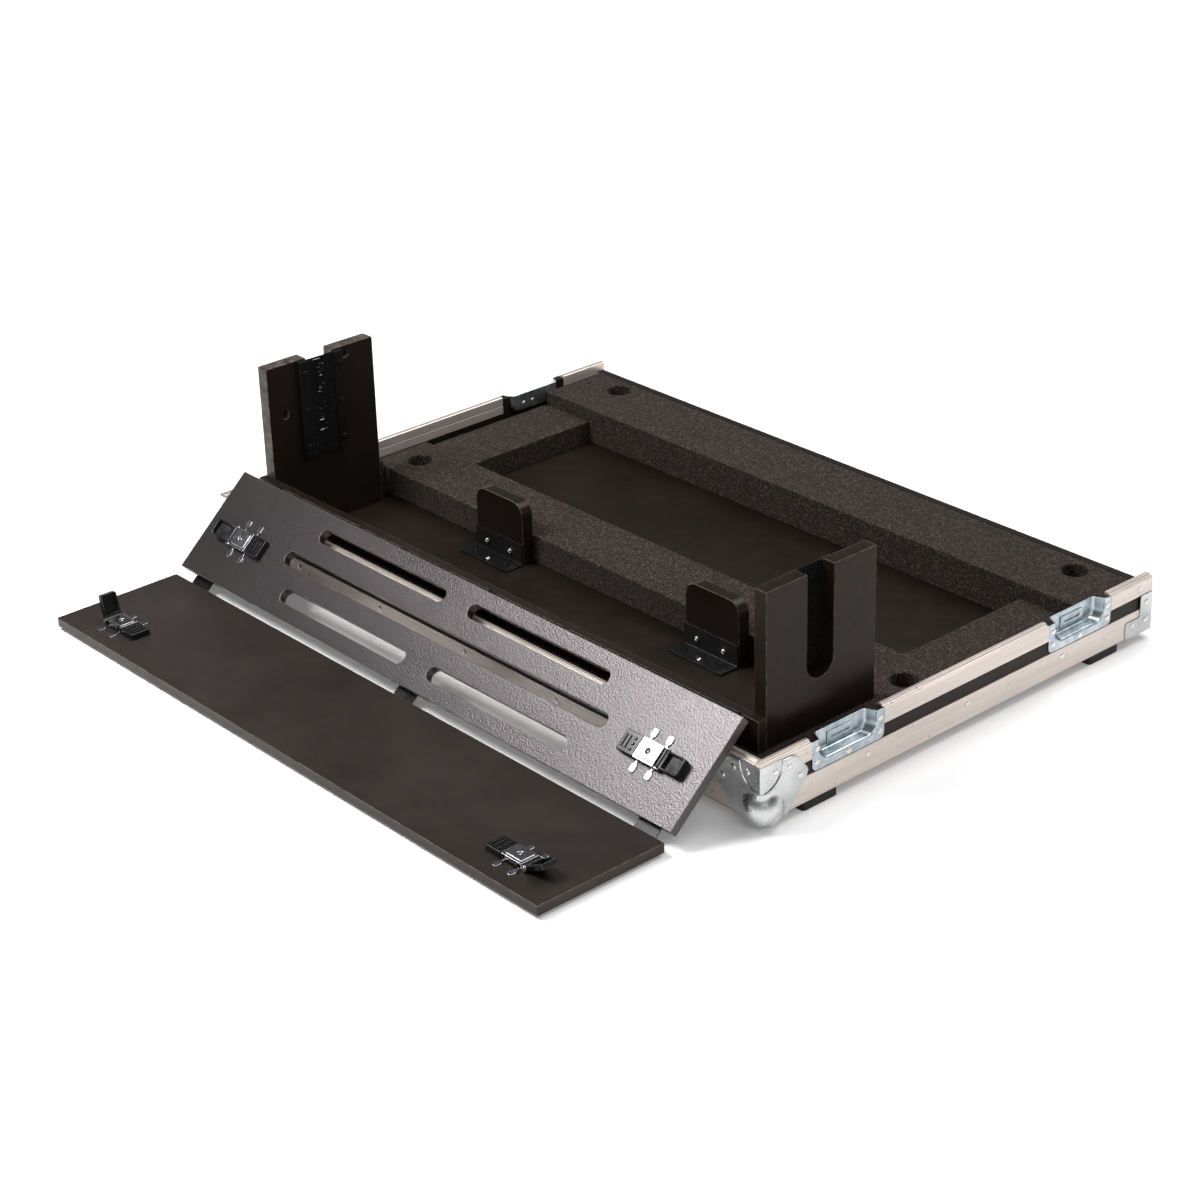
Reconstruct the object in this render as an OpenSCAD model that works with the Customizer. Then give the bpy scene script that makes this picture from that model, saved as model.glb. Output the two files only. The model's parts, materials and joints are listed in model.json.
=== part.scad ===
// Base tray of a mixer flight case with a fold-out cable compartment.
// Millimetres, +Z up, the floor at Z = 0, the tray centred on X.
// The modules draw it with the front wall's outer face at Y = 0 and the rear towards +Y,
// and placed() then brings the middle of the whole object to Y = 0.
// The compartment's slotted panel and its lid are shown folded out on the floor.

/* [Tray] */
// Outer width of the tray
case_w = 990; // [940:5:1100]
// Outer depth of the tray
case_d = 656; // [640:4:800]
// Height of the walls up to the ledge of the top rail
wall_h = 69.5; // [69:0.5:90]
// Thickness of the wall and floor boards
ply_t = 9; // [6.5:0.5:12]
// Height of the rear wall, which has no top rail
rear_wall_h = 60; // [50:1:62]
// Height of the feet
foot_h = 12; // [8:1:20]
// Length of a foot
foot_l = 54; // [30:1:80]
// Width of a foot
foot_w = 48; // [24:1:60]
// Distance from the front wall to the middle of the front feet
foot_front = 92; // [80:1:120]
// Distance from the rear wall to the middle of the rear feet
foot_rear = 83; // [60:1:120]

/* [Rails] */
// Sheet thickness of the aluminium rails
rail_t = 1.5; // [1:0.1:2]
// Height of the outer flange of the top rail
top_flange_h = 20; // [16:1:26]
// Height of the inner flange of the top rail
inner_flange_h = 22; // [8:1:24]
// Thickness of the inner flange of the top rail
inner_flange_t = 1; // [0.8:0.1:2]
// Height of the tongue on the top rail
tongue_h = 2.2; // [1.5:0.1:4]
// Width of the outer ledge beside the tongue
ledge_w = 4.5; // [3:0.5:6]
// Height of the outer flange of the bottom rail
bottom_flange_h = 32; // [24:1:34]
// Width of the bottom rail's flange under the floor
under_flange_w = 28; // [20:1:40]
// Distance between the rivets of a bottom rail
rivet_pitch = 164; // [120:1:200]
// Diameter of a rivet head
rivet_d = 7; // [5:0.5:9]
// Height of a rivet head
rivet_h = 1.4; // [0.8:0.1:2]

/* [Corner hardware] */
// Radius of the ball corner
ball_r = 22; // [21.9:0.1:22.5]
// Distance of the ball's centre inside each outer face
ball_in = 12; // [11.5:0.1:12.1]
// Sheet thickness of the corner steel
corner_t = 1.5; // [1:0.1:2]
// Width of the upper corner plate on each face
corner_plate_w = 30; // [24:1:34]
// Reach of the rear bracket's lower arm
bracket_reach = 48; // [40:1:60]
// Width of the rear bracket's upright arm
bracket_arm = 22; // [16:1:30]
// Height of the rear bracket
bracket_h = 50; // [40:1:56]

/* [Latch dishes] */
// Length of a latch dish along the wall
dish_w = 112; // [100:2:120]
// Height of a latch dish
dish_h = 36.5; // [34:0.5:37]
// Distance from the case's front and rear faces to the middle of the nearest dish
dish_end = 133.25; // [118:0.25:180]
// Depth of the recess behind the outer face
dish_depth = 15; // [12:0.5:16]
// Width of the dish's side flanges
dish_flange = 12; // [10:1:18]
// Height of the dish's bottom flange
dish_lip = 10; // [8:1:14]
// Sheet thickness of the dish
dish_t = 1.5; // [1:0.1:2]
// Length of the keeper plate in a dish
keeper_w = 40; // [30:1:60]
// Height of the keeper plate in a dish
keeper_h = 17; // [12:1:20]
// Thickness of the keeper plate
keeper_t = 2; // [1:0.5:3]

/* [Foam] */
// Height of the side foam bars
foam_side_h = 31; // [20:1:35]
// Height of the front foam bar
foam_front_h = 37; // [20:1:44]
// Height of the foam lining round the cable compartment
lining_h = 46.5; // [30:0.5:50]
// Height of the rear foam bar
foam_rear_h = 49.5; // [30:0.5:52]
// Depth of the front foam bar
foam_front_d = 93; // [60:1:110]
// Depth of the rear foam bar
foam_rear_d = 103; // [95:1:130]
// Width of the side foam bars
foam_side_w = 95; // [75:1:130]
// Diameter of the holes in the foam bars
foam_hole_d = 34; // [20:1:40]
// Distance from a foam bar's end to the front foam holes
front_hole_side = 44; // [38:1:72]
// Distance from a foam bar's end to the rear foam holes
rear_hole_side = 74; // [44:1:82]
// Distance from the rear foam bar's front face to its holes
rear_hole_in = 75; // [30:1:78]

/* [Cable compartment] */
// Distance from the case's side faces to the ends of the slotted panel, the lid and the plank
flap_side = 40; // [32:1:55]
// Thickness of the slotted panel, the lid and the plank
flap_t = 12; // [9:0.5:15]
// Height of the end boards over the tray's floor board
end_h = 233.5; // [232:0.5:240]
// Height of the slotted panel
panel_h = 145; // [140:1:160]
// Depth of the lid
lid_d = 176; // [170:1:190]
// Distance from the front wall's outer face to the plank
plank_y = 35; // [34:1:45]
// Height of the plank's top edge over the floor
plank_top = 107; // [104:1:110]
// Thickness of the end boards
end_t = 18; // [15:1:21]
// Depth of the end boards
end_d = 168; // [160:1:180]
// Width of the open slot in an end board
u_slot_w = 41; // [30:1:50]
// Height of the slot's round bottom over the floor
u_slot_z = 126; // [115:1:140]
// Distance from an end board's front edge to the middle of its slot
u_slot_in = 82; // [75:0.5:95]
// Width of a slot in the slotted panel
slot_w = 18; // [10:1:24]
// Distance between the rows of slots
slot_pitch = 43.5; // [36:0.5:46]
// Length of the four short slots
short_slot_l = 243; // [160:1:250]
// Distance from the centre line to the short slots
short_slot_in = 22; // [15:1:40]
// Length of the long slot
long_slot_l = 594; // [400:2:620]

/* [Brush strips] */
// Length of a brush strip
brush_l = 134; // [120:1:136]
// Width of a brush holder
holder_w = 14; // [10:1:18]
// Thickness of a brush holder
holder_t = 6; // [4:0.5:8]
// Strands in each brush strip
strands = 100; // [75:1:120]
// Free length of a strand
strand_l = 19; // [12:0.5:19]
// Thickness of a strand
strand_t = 0.8; // [0.5:0.1:1]

/* [Stops] */
// Width of a stop and its bracket
stop_w = 90; // [70:1:110]
// Thickness of a stop
stop_t = 20; // [12:1:22]
// Height of a stop over the tray's floor board
stop_h = 84; // [60:1:90]
// Radius of a stop's upper corners
stop_r = 20; // [10:1:30]
// Distance from the centre line to the middle of a stop
stop_x = 194; // [150:1:260]
// Length of the stop bracket's leaves
stop_leaf = 30; // [20:1:32]
// Sheet thickness of the stop bracket
stop_leaf_t = 3; // [1.5:0.1:3]

/* [Hinges] */
// Width of a hinge
hinge_w = 34; // [28:1:38]
// Length of a hinge leaf
hinge_leaf = 28; // [20:1:30]
// Distance from the ends of the boards to the middle of the outer hinges
hinge_side = 40; // [39:1:75]
// Sheet thickness of the upper hinges
upper_leaf_t = 2.5; // [2:0.1:3]
// Barrel radius of the upper hinges
upper_barrel_r = 5.5; // [5:0.1:6]
// Sheet thickness of the lower hinges
lower_leaf_t = 1.5; // [1.2:0.1:1.8]
// Barrel radius of the lower hinges
lower_barrel_r = 3; // [2.8:0.1:3.2]
// Pin radius of the upper hinges
upper_pin_r = 2.5; // [2:0.1:3]
// Pin radius of the lower hinges
lower_pin_r = 1.5; // [1.2:0.1:1.6]

/* [Cable compartment latches] */
// Distance from the slotted panel's ends to the middle of its latches
panel_latch_side = 79; // [79:0.5:115]
// Distance from the lid's ends to the middle of its latches
lid_latch_side = 78.5; // [78.5:0.5:115]
// Distance from the slotted panel's lower edge to its latches when it is shut
panel_latch_up = 80.8; // [60:0.1:90]
// Distance from the lid's hinge edge to its latches
lid_latch_in = 131.5; // [110:0.5:140]
// Width of a latch
latch_w = 26; // [24:1:30]
// Length of the latch's moulded base
latch_base_l = 26; // [20:1:32]
// Length of the latch's steel saddle
saddle_l = 32; // [30:1:33]
// Sheet thickness of the saddle
saddle_t = 1.5; // [1:0.1:2]
// Height of the saddle's top over the board
saddle_h = 8.5; // [8:0.1:10]
// Length of the lever from its pin
lever_l = 32; // [28:1:32]
// Thickness of the lever
lever_t = 7; // [6:0.5:7]
// Pin radius of the lever
lever_pin_r = 1.5; // [1.2:0.1:1.8]
// Angle of the left lever on the slotted panel
left_panel_lever_angle = 10; // [0:1:110]
// Angle of the right lever on the slotted panel
right_panel_lever_angle = 4; // [0:1:110]
// Angle of the left lever on the lid
left_lid_lever_angle = 76; // [0:1:110]
// Angle of the right lever on the lid
right_lid_lever_angle = 26; // [0:1:110]

/* [Hidden] */
$fn = 48;
// Clearances: between a foam and a wall, between boards that meet, at the barrels
soft_gap = 0.5;
seat_gap = 0.3;
barrel_gap = 0.3;
pin_fit = 0.06;
// Overrun of every cut past the faces that it opens
over = 1;

// Levels and faces of the tray
base_z = foot_h;
floor_z = base_z + rail_t + ply_t;
ledge_z = base_z + wall_h;
half_w = case_w / 2;
ply_x = half_w - rail_t;
in_x = ply_x - ply_t;
rail_in = rail_t + ply_t + inner_flange_t;
clear_x = half_w - rail_in;
front_in = rail_t + ply_t;
rear_in = case_d - front_in;
tongue_slope = 1;
rear_wall_z = base_z + rear_wall_h;

// Rivet head's top as a share of its foot
rivet_top_share = 0.72;
rivet_row_z = base_z + 0.31 * wall_h;

// Ball corner: lobes of the wings and their rivets, in the face's own plane, as distances from
// the case's edge and from the base
lobe_r = 13;
lobe_a_out = 43;
lobe_a_up = 54;
lobe_b_out = 55;
lobe_b_up = 39.5;
plate_rivet_out = 20;
plate_rivet_up = 57;
wing_rivet_a_out = 41;
wing_rivet_a_up = 55;
wing_rivet_b_out = 58;
wing_rivet_b_up = 39;
wing_cut_down = 2.5;
wing_cut_r = corner_plate_w + seat_gap;
wing_cut_z = ledge_z - wing_cut_down;
wing_a = [lobe_a_out, base_z + lobe_a_up];
wing_b = [lobe_b_out, base_z + lobe_b_up];
wing_foot = 38;
wing_edge_r = 9;
corner_trim = 10;
rail_stop = ball_in + 0.5;
plate_rivet = [plate_rivet_out, base_z + plate_rivet_up];
wing_rivet_a = [wing_rivet_a_out, base_z + wing_rivet_a_up];
wing_rivet_b = [wing_rivet_b_out, base_z + wing_rivet_b_up];

// Rear bracket's rivets as places on its face
bracket_rivet_low = 16;
bracket_rivet_high = 39;
bracket_rivets = [
    [bracket_arm / 2, base_z + bracket_rivet_high],
    [bracket_arm / 2, base_z + bracket_rivet_low],
    [bracket_reach - bracket_arm / 2, base_z + bracket_rivet_low]
];

// Latch dish: corner rounding, back wall's narrowing, middle of the dishes on the wall
dish_round = 14;
dish_taper = 6;
dish_z = ledge_z - dish_h;
dish_ys = [dish_end, case_d - dish_end];
keeper_slot_w = 26;
keeper_slot_h = 5;
keeper_lift = 3;
dish_rivet_up = 10;
dish_rivet_in = dish_flange / 2 + 1;
dish_rivet_x = dish_w / 2 - dish_rivet_in;
dish_rivets = [
    [-dish_rivet_x, dish_h - dish_rivet_up],
    [-dish_rivet_x, dish_rivet_up],
    [0, dish_lip / 2],
    [dish_rivet_x, dish_rivet_up],
    [dish_rivet_x, dish_h - dish_rivet_up]
];

// Foam bars
foam_x = clear_x - soft_gap;
foam_front_y = plank_y + flap_t + end_d + stop_t + soft_gap;
foam_rear_y = rear_in - soft_gap - foam_rear_d;
bay_x = foam_x - foam_side_w;
front_hole_x = foam_x - front_hole_side;
rear_hole_x = foam_x - rear_hole_side;

// Cable compartment, shut
plank_in = plank_y + flap_t;
flap_x = half_w - flap_side;
flap_w = 2 * flap_x;
hinge_x = flap_x - hinge_side;
panel_latch_x = flap_x - panel_latch_side;
lid_latch_x = flap_x - lid_latch_side;
end_x = flap_x - end_t;
end_top = floor_z + end_h;
lid_z = end_top + seat_gap;
panel_y = plank_y - seat_gap;
panel_in = panel_y + flap_t;
hinge_gap = 1;
lid_in = 2.5;
panel_z = plank_top + hinge_gap;
lid_front = plank_y + lid_in;

// Hinge axes, shut: the upper one between plank and panel, the lower one between panel and lid
upper_axis = [0, plank_y - upper_leaf_t - upper_barrel_r, plank_top + hinge_gap / 2];
lower_axis = [0, panel_y - lower_barrel_r, lid_z + flap_t + hinge_gap];
knuckle_l = hinge_w / 3;
leaf_web = 4;

// The lower barrels stop just over the floor, which sets both opening angles
barrel_lift = 0.2;
hinge_arm = norm(lower_axis - upper_axis);
shut_angle = atan2(lower_axis.z - upper_axis.z, lower_axis.y - upper_axis.y);
drop = upper_axis.z - lower_barrel_r - barrel_lift;
open_angle = 180 + asin(drop / hinge_arm) - shut_angle;
lid_angle = 180 - open_angle;
lid_lift = lower_barrel_r + barrel_lift + lower_axis.z - lid_z - flap_t;

// Middle of the whole object from front to back, which goes to Y = 0
lower_axis_out = upper_axis.y + hinge_arm * cos(shut_angle + open_angle);
front_end = lower_axis_out - (lid_front + lid_d - lower_axis.y);
rear_end = case_d + corner_t + rivet_h;
mid_y = (front_end + rear_end) / 2;

// Brush strips in the end boards' slots
u_slot_y = plank_in + u_slot_in;
brush_down = 2;
brush_z = end_top - brush_down - brush_l;
brush_back = 2;
strand_pitch = brush_l / strands;
strand_w_share = 0.58;

// Keeper pockets in the end boards
pocket_t = 6;
pocket_r = 4.5;
pocket_in = 25;
pocket_down = 12;
front_pocket = [plank_in + pocket_in, panel_z + panel_latch_up];
top_pocket = [lid_front + lid_latch_in, end_top - pocket_down];
pocket_l = 14;

// Stops
stop_y = plank_in + end_d;
stop_screw_d = 7;
stop_screw_h = 2.5;

// Latch parts, in the latch's own frame: x towards the case's end, z off the board
base_h = 9;
under_h = saddle_h - saddle_t;
under_w = 20;
tab_w = 8;
tab_l = 16;
tab_x = (saddle_l - tab_w) / 2;
lever_barrel_r = 4;
pin_x = saddle_l / 2 + lever_barrel_r + soft_gap;
pin_z = 5;
ear_l = pin_x - saddle_l / 2 + 3.5;
ear_h = 8.5;
lever_w = latch_w - 2 * saddle_t - 2 * barrel_gap;
lever_wall = 2;
lever_lift = 1;
latch_rivet_d = 10;

laminate = [0.16, 0.14, 0.13];
aluminium = [0.82, 0.78, 0.74];
zinc = [0.68, 0.75, 0.79];
steel = [0.74, 0.75, 0.76];
foam_grey = [0.24, 0.21, 0.2];
moulding = [0.07, 0.07, 0.07];
black_steel = [0.1, 0.1, 0.1];

module placed() {
    translate([0, -mid_y, 0]) children();
}
// Moves of the flap parts from their shut place to their place on the floor
module flap_out() {
    translate(upper_axis) rotate([open_angle, 0, 0]) translate(-upper_axis) children();
}
module lid_out() {
    flap_out() translate(lower_axis) rotate([lid_angle, 0, 0]) translate(-lower_axis) children();
}
module both_sides() {
    for (s = [0, 1]) mirror([s, 0, 0]) children();
}
module side(right) {
    mirror([right ? 0 : 1, 0, 0]) children();
}
// A plate drawn as [along, up] on the right wall's face, standing off it by t
module on_side_face(t) {
    translate([half_w, 0, 0]) rotate([90, 0, 90]) linear_extrude(t) children();
}
// The same on the front wall's right end, along running from the corner to the left
module on_front_face(t) {
    translate([half_w, 0, 0]) rotate([90, 0, 0]) linear_extrude(t) mirror([1, 0]) children();
}
module rivet(d = rivet_d, h = rivet_h) {
    cylinder(h = h, d1 = d, d2 = d * rivet_top_share);
}
module side_rivet(y, z, off = 0) {
    translate([half_w + off, y, z]) rotate([0, 90, 0]) rivet();
}
module front_rivet(x, z, off = 0) {
    translate([x, -off, z]) rotate([90, 0, 0]) rivet();
}
module rear_rivet(x, z, off = 0) {
    translate([x, case_d + off, z]) rotate([-90, 0, 0]) rivet();
}
// Room for the recess of a latch dish in what stands behind the wall
module dish_room(extra = 0) {
    for (y = dish_ys)
        translate([ply_x - dish_depth - extra, y - dish_w / 2 + dish_flange - extra,
            dish_z + dish_lip - dish_t - extra])
            cube([dish_depth + ply_t + extra, dish_w - 2 * dish_flange + 2 * extra, dish_h]);
}

// The floor board's front corner, cut off inside the ball corner
module trimmed_corner() {
    translate([ply_x, rail_t, 0]) linear_extrude(floor_z + over)
        polygon([[-corner_trim, 0], [-corner_trim, -over], [over, -over], [over, corner_trim],
            [0, corner_trim]]);
}
module floor_panel() {
    color(laminate) difference() {
        translate([-ply_x, rail_t, base_z + rail_t]) cube([2 * ply_x, case_d - 2 * rail_t, ply_t]);
        both_sides() trimmed_corner();
    }
}
module front_wall() {
    color(laminate) translate([-clear_x, rail_t, floor_z])
        cube([2 * clear_x, ply_t, ledge_z - rail_t - floor_z]);
}
module rear_wall() {
    color(laminate) translate([-clear_x, rear_in, floor_z])
        cube([2 * clear_x, ply_t, rear_wall_z - floor_z]);
}
module side_wall() {
    color(laminate) difference() {
        translate([in_x, rail_t, floor_z]) cube([ply_t, case_d - 2 * rail_t, ledge_z - rail_t - floor_z]);
        dish_room(seat_gap);
    }
}
// Section of the top rail, from its outer face inwards, with its ledge at the height 0
module top_rail_section() {
    polygon([[0, -top_flange_h], [0, 0], [ledge_w, 0], [ledge_w + tongue_slope, tongue_h],
        [rail_in - tongue_slope, tongue_h], [rail_in, tongue_h - tongue_slope],
        [rail_in, -inner_flange_h], [rail_in - inner_flange_t, -inner_flange_h],
        [rail_in - inner_flange_t, -rail_t], [rail_t, -rail_t], [rail_t, -top_flange_h]]);
}
module top_rail_side_length(y0, y1) {
    translate([half_w, y1, ledge_z]) rotate([90, 0, 0]) linear_extrude(y1 - y0)
        mirror([1, 0]) top_rail_section();
}
module top_rail_side() {
    dish_half = dish_w / 2 + seat_gap;
    color(aluminium) {
        top_rail_side_length(0, dish_ys[0] - dish_half);
        top_rail_side_length(dish_ys[0] + dish_half, dish_ys[1] - dish_half);
        top_rail_side_length(dish_ys[1] + dish_half, case_d);
    }
}
module top_rail_front() {
    color(aluminium) translate([-clear_x, 0, ledge_z]) rotate([90, 0, 90])
        linear_extrude(2 * clear_x) top_rail_section();
}
module bottom_rail_side() {
    color(aluminium) translate([0, rail_stop, base_z]) {
        translate([half_w - rail_t, 0, 0]) cube([rail_t, case_d - rail_stop, bottom_flange_h]);
        translate([half_w - under_flange_w, 0, 0])
            cube([under_flange_w, case_d - rail_stop - rail_t, rail_t]);
    }
}
// Front or rear bottom rail: its upright flange ends at x, its under flange at the side rails
module bottom_rail_cross(x, y_flange, y_under) {
    under_x = half_w - under_flange_w;
    color(aluminium) translate([0, 0, base_z]) {
        translate([-x, y_flange, 0]) cube([2 * x, rail_t, bottom_flange_h]);
        translate([-under_x, y_under, 0]) cube([2 * under_x, under_flange_w, rail_t]);
    }
}
// Outline of one wing of the ball corner, [along, up] from the corner
module wing_outline() {
    difference() {
        union() {
            hull() {
                translate(wing_a) circle(lobe_r);
                translate(wing_b) circle(lobe_r);
                translate([0, base_z]) square([wing_foot, lobe_r]);
            }
            translate([0, base_z]) square([wing_foot, wing_cut_z - base_z]);
        }
        translate([0, wing_cut_z]) circle(wing_cut_r);
        translate([-over, wing_cut_z]) square([wing_foot - lobe_r + over, case_d]);
        translate([-case_d, 0]) square([case_d, case_d]);
    }
}
// The two wings, joined round the corner's upright edge above the ball
module wings() {
    difference() {
        union() {
            on_side_face(corner_t) wing_outline();
            on_front_face(corner_t) wing_outline();
            translate([half_w, -corner_t, base_z])
                cube([corner_t, corner_t, wing_cut_z - wing_cut_r - base_z]);
        }
        translate([half_w - ball_in, -corner_t - over, 0])
            cube([ball_in + corner_t + over, ball_in + corner_t + over, base_z + ball_in]);
        translate([half_w + corner_t - wing_edge_r, wing_edge_r - corner_t, 0]) difference() {
            translate([0, -wing_edge_r - over, 0]) cube([wing_edge_r + over, wing_edge_r + over, ledge_z]);
            cylinder(h = ledge_z, r = wing_edge_r);
        }
    }
}
// What the ball corner wraps: the boards, and the rails beyond their ends
module wrapped() {
    translate([half_w - case_w, rail_stop, base_z]) cube([case_w, case_d, case_d]);
    translate([half_w - case_w, 0, base_z]) cube([case_w - rail_stop, case_d, case_d]);
    translate([half_w - case_w, rail_t, floor_z]) cube([case_w - rail_t, case_d, case_d]);
    difference() {
        translate([half_w - case_w, rail_t, base_z + rail_t]) cube([case_w - rail_t, case_d, ply_t + over]);
        trimmed_corner();
    }
}
module ball_corner() {
    color(steel) difference() {
        union() {
            translate([half_w - ball_in, ball_in, base_z + ball_in]) sphere(ball_r);
            wings();
        }
        wrapped();
    }
}
// Outline of one side of the upper corner plate, inside the ball corner's curved edge
module plate_outline() {
    intersection() {
        translate([0, wing_cut_z]) circle(corner_plate_w);
        translate([0, base_z]) square([corner_plate_w, ledge_z - base_z]);
    }
}
module upper_corner_plates() {
    color(steel) both_sides() {
        on_side_face(corner_t) plate_outline();
        on_front_face(corner_t) plate_outline();
        translate([half_w, -corner_t, wing_cut_z - corner_plate_w])
            cube([corner_t, corner_t, ledge_z - wing_cut_z + corner_plate_w]);
    }
}
module bracket_outline() {
    translate([0, base_z]) {
        square([bracket_reach, bottom_flange_h]);
        square([bracket_arm, bracket_h]);
    }
}
module rear_corner_brackets() {
    color(zinc) both_sides() {
        translate([0, case_d, 0]) mirror([0, 1, 0]) {
            on_side_face(corner_t) bracket_outline();
            on_front_face(corner_t) bracket_outline();
            translate([half_w, -corner_t, base_z]) cube([corner_t, corner_t, bracket_h]);
        }
    }
}
// Flange of a latch dish, [along, up], with its lower corners rounded
module dish_flange_outline() {
    x = dish_w / 2 - dish_round;
    difference() {
        union() {
            translate([-x, 0]) square([2 * x, dish_round]);
            for (s = [-1, 1]) translate([s * x, dish_round]) circle(dish_round);
            translate([-dish_w / 2, dish_round]) square([dish_w, dish_h - dish_round]);
        }
        translate([-dish_w / 2 + dish_flange + dish_t, dish_lip])
            square([dish_w - 2 * dish_flange - 2 * dish_t, dish_h]);
    }
}
// Plan of the recess: its mouth is at y = 0 and its back is dish_taper narrower at each end
module recess_plan(inset) {
    x = dish_w / 2 - dish_flange - inset;
    polygon([[-x, 0], [x, 0], [x - dish_taper, dish_depth - inset], [-x + dish_taper, dish_depth - inset]]);
}
module latch_dish() {
    translate([0, 0, dish_z]) {
        translate([-dish_t, 0, 0]) rotate([90, 0, 90]) linear_extrude(dish_t) dish_flange_outline();
        rotate([0, 0, 90]) difference() {
            translate([0, 0, dish_lip - dish_t]) linear_extrude(dish_h - dish_lip + dish_t) recess_plan(0);
            translate([0, -over, dish_lip]) linear_extrude(dish_h) union() {
                translate([0, over]) recess_plan(dish_t);
                translate([-dish_w / 2 + dish_flange + dish_t, 0])
                    square([dish_w - 2 * dish_flange - 2 * dish_t, over]);
            }
        }
    }
}
module latch_dishes() {
    color(zinc) for (y = dish_ys) translate([half_w, y, 0]) latch_dish();
}
module dish_keepers() {
    color(zinc) both_sides() for (y = dish_ys)
        translate([half_w - dish_depth + dish_t, y, dish_z + dish_lip + keeper_lift])
            rotate([90, 0, 90]) linear_extrude(keeper_t) difference() {
                translate([-keeper_w / 2, 0]) square([keeper_w, keeper_h]);
                translate([-keeper_slot_w / 2, keeper_h - 2 * keeper_slot_h])
                    square([keeper_slot_w, keeper_slot_h]);
            }
}
module dish_rivets() {
    color(steel) both_sides() for (y = dish_ys, p = dish_rivets) side_rivet(y + p.x, dish_z + p.y);
}
module rail_rivets() {
    color(steel) {
        both_sides() {
            for (k = [-1, 0, 1]) side_rivet(case_d / 2 + k * rivet_pitch, rivet_row_z);
            side_rivet(case_d - bracket_reach / 2, ledge_z - top_flange_h / 2);
        }
        for (k = [-2:2]) {
            front_rivet(k * rivet_pitch, rivet_row_z);
            rear_rivet(k * rivet_pitch, rivet_row_z);
        }
        for (k = [-2, 0, 2]) front_rivet(k * rivet_pitch, ledge_z - top_flange_h / 2);
    }
}
module corner_rivets() {
    color(steel) both_sides() {
        for (p = [plate_rivet, wing_rivet_a, wing_rivet_b]) {
            side_rivet(p.x, p.y, corner_t);
            front_rivet(half_w - p.x, p.y, corner_t);
        }
        for (p = bracket_rivets) {
            side_rivet(case_d - p.x, p.y, corner_t);
            rear_rivet(half_w - p.x, p.y, corner_t);
        }
    }
}
module feet() {
    color(moulding) both_sides() for (y = [foot_front, case_d - foot_rear])
        translate([half_w - rail_t - foot_w, y - foot_l / 2, 0]) cube([foot_w, foot_l, foot_h]);
}

module foam_bar(y, d, h, hole_x, hole_y) {
    color(foam_grey) difference() {
        translate([-foam_x, y, floor_z]) cube([2 * foam_x, d, h]);
        for (s = [-1, 1]) translate([s * hole_x, hole_y, floor_z - over])
            cylinder(h = h + 2 * over, d = foam_hole_d);
        both_sides() dish_room(soft_gap);
    }
}
module foam_side_bar() {
    y = foam_front_y + foam_front_d + soft_gap;
    color(foam_grey) difference() {
        translate([bay_x, y, floor_z]) cube([foam_side_w, foam_rear_y - soft_gap - y, foam_side_h]);
        dish_room(soft_gap);
    }
}
module foam_linings() {
    y = rail_in + soft_gap;
    x = flap_w / 2 + soft_gap;
    color(foam_grey) {
        translate([-flap_w / 2, y, floor_z]) cube([flap_w, plank_y - soft_gap - y, lining_h]);
        both_sides() difference() {
            translate([x, y, floor_z]) cube([foam_x - x, foam_front_y - soft_gap - y, lining_h]);
            dish_room(soft_gap);
        }
    }
}

module hinge_plank() {
    color(laminate) translate([-flap_w / 2, plank_y, floor_z]) cube([flap_w, flap_t, plank_top - floor_z]);
}
module pocket(p, upright) {
    l = pocket_l / 2 - pocket_r;
    translate([end_x - over, p.x, p.y]) rotate([0, 90, 0]) linear_extrude(pocket_t + over) {
        for (s = [-1, 1]) translate(upright ? [s * l, 0] : [0, s * l]) circle(pocket_r);
        square(upright ? [2 * l, 2 * pocket_r] : [2 * pocket_r, 2 * l], center = true);
    }
}
module end_board() {
    r = u_slot_w / 2;
    color(laminate) difference() {
        translate([end_x, plank_in, floor_z]) cube([end_t, end_d, end_top - floor_z]);
        translate([end_x - over, u_slot_y, u_slot_z + r]) rotate([0, 90, 0])
            cylinder(h = end_t + 2 * over, r = r);
        translate([end_x - over, u_slot_y - r, u_slot_z + r])
            cube([end_t + 2 * over, u_slot_w, end_top - u_slot_z]);
        pocket(front_pocket, false);
        pocket(top_pocket, true);
    }
}
module brush_holders() {
    color(black_steel) for (s = [-1, 1])
        translate([end_x - holder_t, u_slot_y + s * (u_slot_w + holder_w) / 2 - holder_w / 2, brush_z])
            cube([holder_t, holder_w, brush_l]);
}
// Length of one strand, ragged at the tips, longest at the middle of the strip
function strand_len(i) = strand_l * (0.93 + 0.07 * sin(i * 137.5));
// A comb of strands on a slice of its backing, drawn as [out, up]
module comb() {
    half = strand_pitch * strand_w_share / 2;
    polygon(concat([[0, 0]], [for (i = [0:strands - 1]) let (z = strand_pitch * (i + 0.5))
        each [[brush_back, z - half], [brush_back + strand_len(i), z - half],
            [brush_back + strand_len(i), z + half], [brush_back, z + half]]], [[0, brush_l]]));
}
module bristles() {
    color(moulding) for (s = [0, 1]) translate([end_x - holder_t / 2 - strand_t / 2, u_slot_y, brush_z])
        mirror([0, s, 0]) translate([0, -u_slot_w / 2, 0]) rotate([90, 0, 90])
            linear_extrude(strand_t) comb();
}
module stop_outline() {
    x = stop_w / 2 - stop_r;
    translate([-stop_w / 2, 0]) square([stop_w, stop_h - stop_r]);
    translate([-x, 0]) square([2 * x, stop_h]);
    for (s = [-1, 1]) translate([s * x, stop_h - stop_r]) circle(stop_r);
}
module stop_board() {
    color(laminate) translate([stop_x, stop_y + stop_t, floor_z]) rotate([90, 0, 0])
        linear_extrude(stop_t - stop_leaf_t) stop_outline();
}
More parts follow.
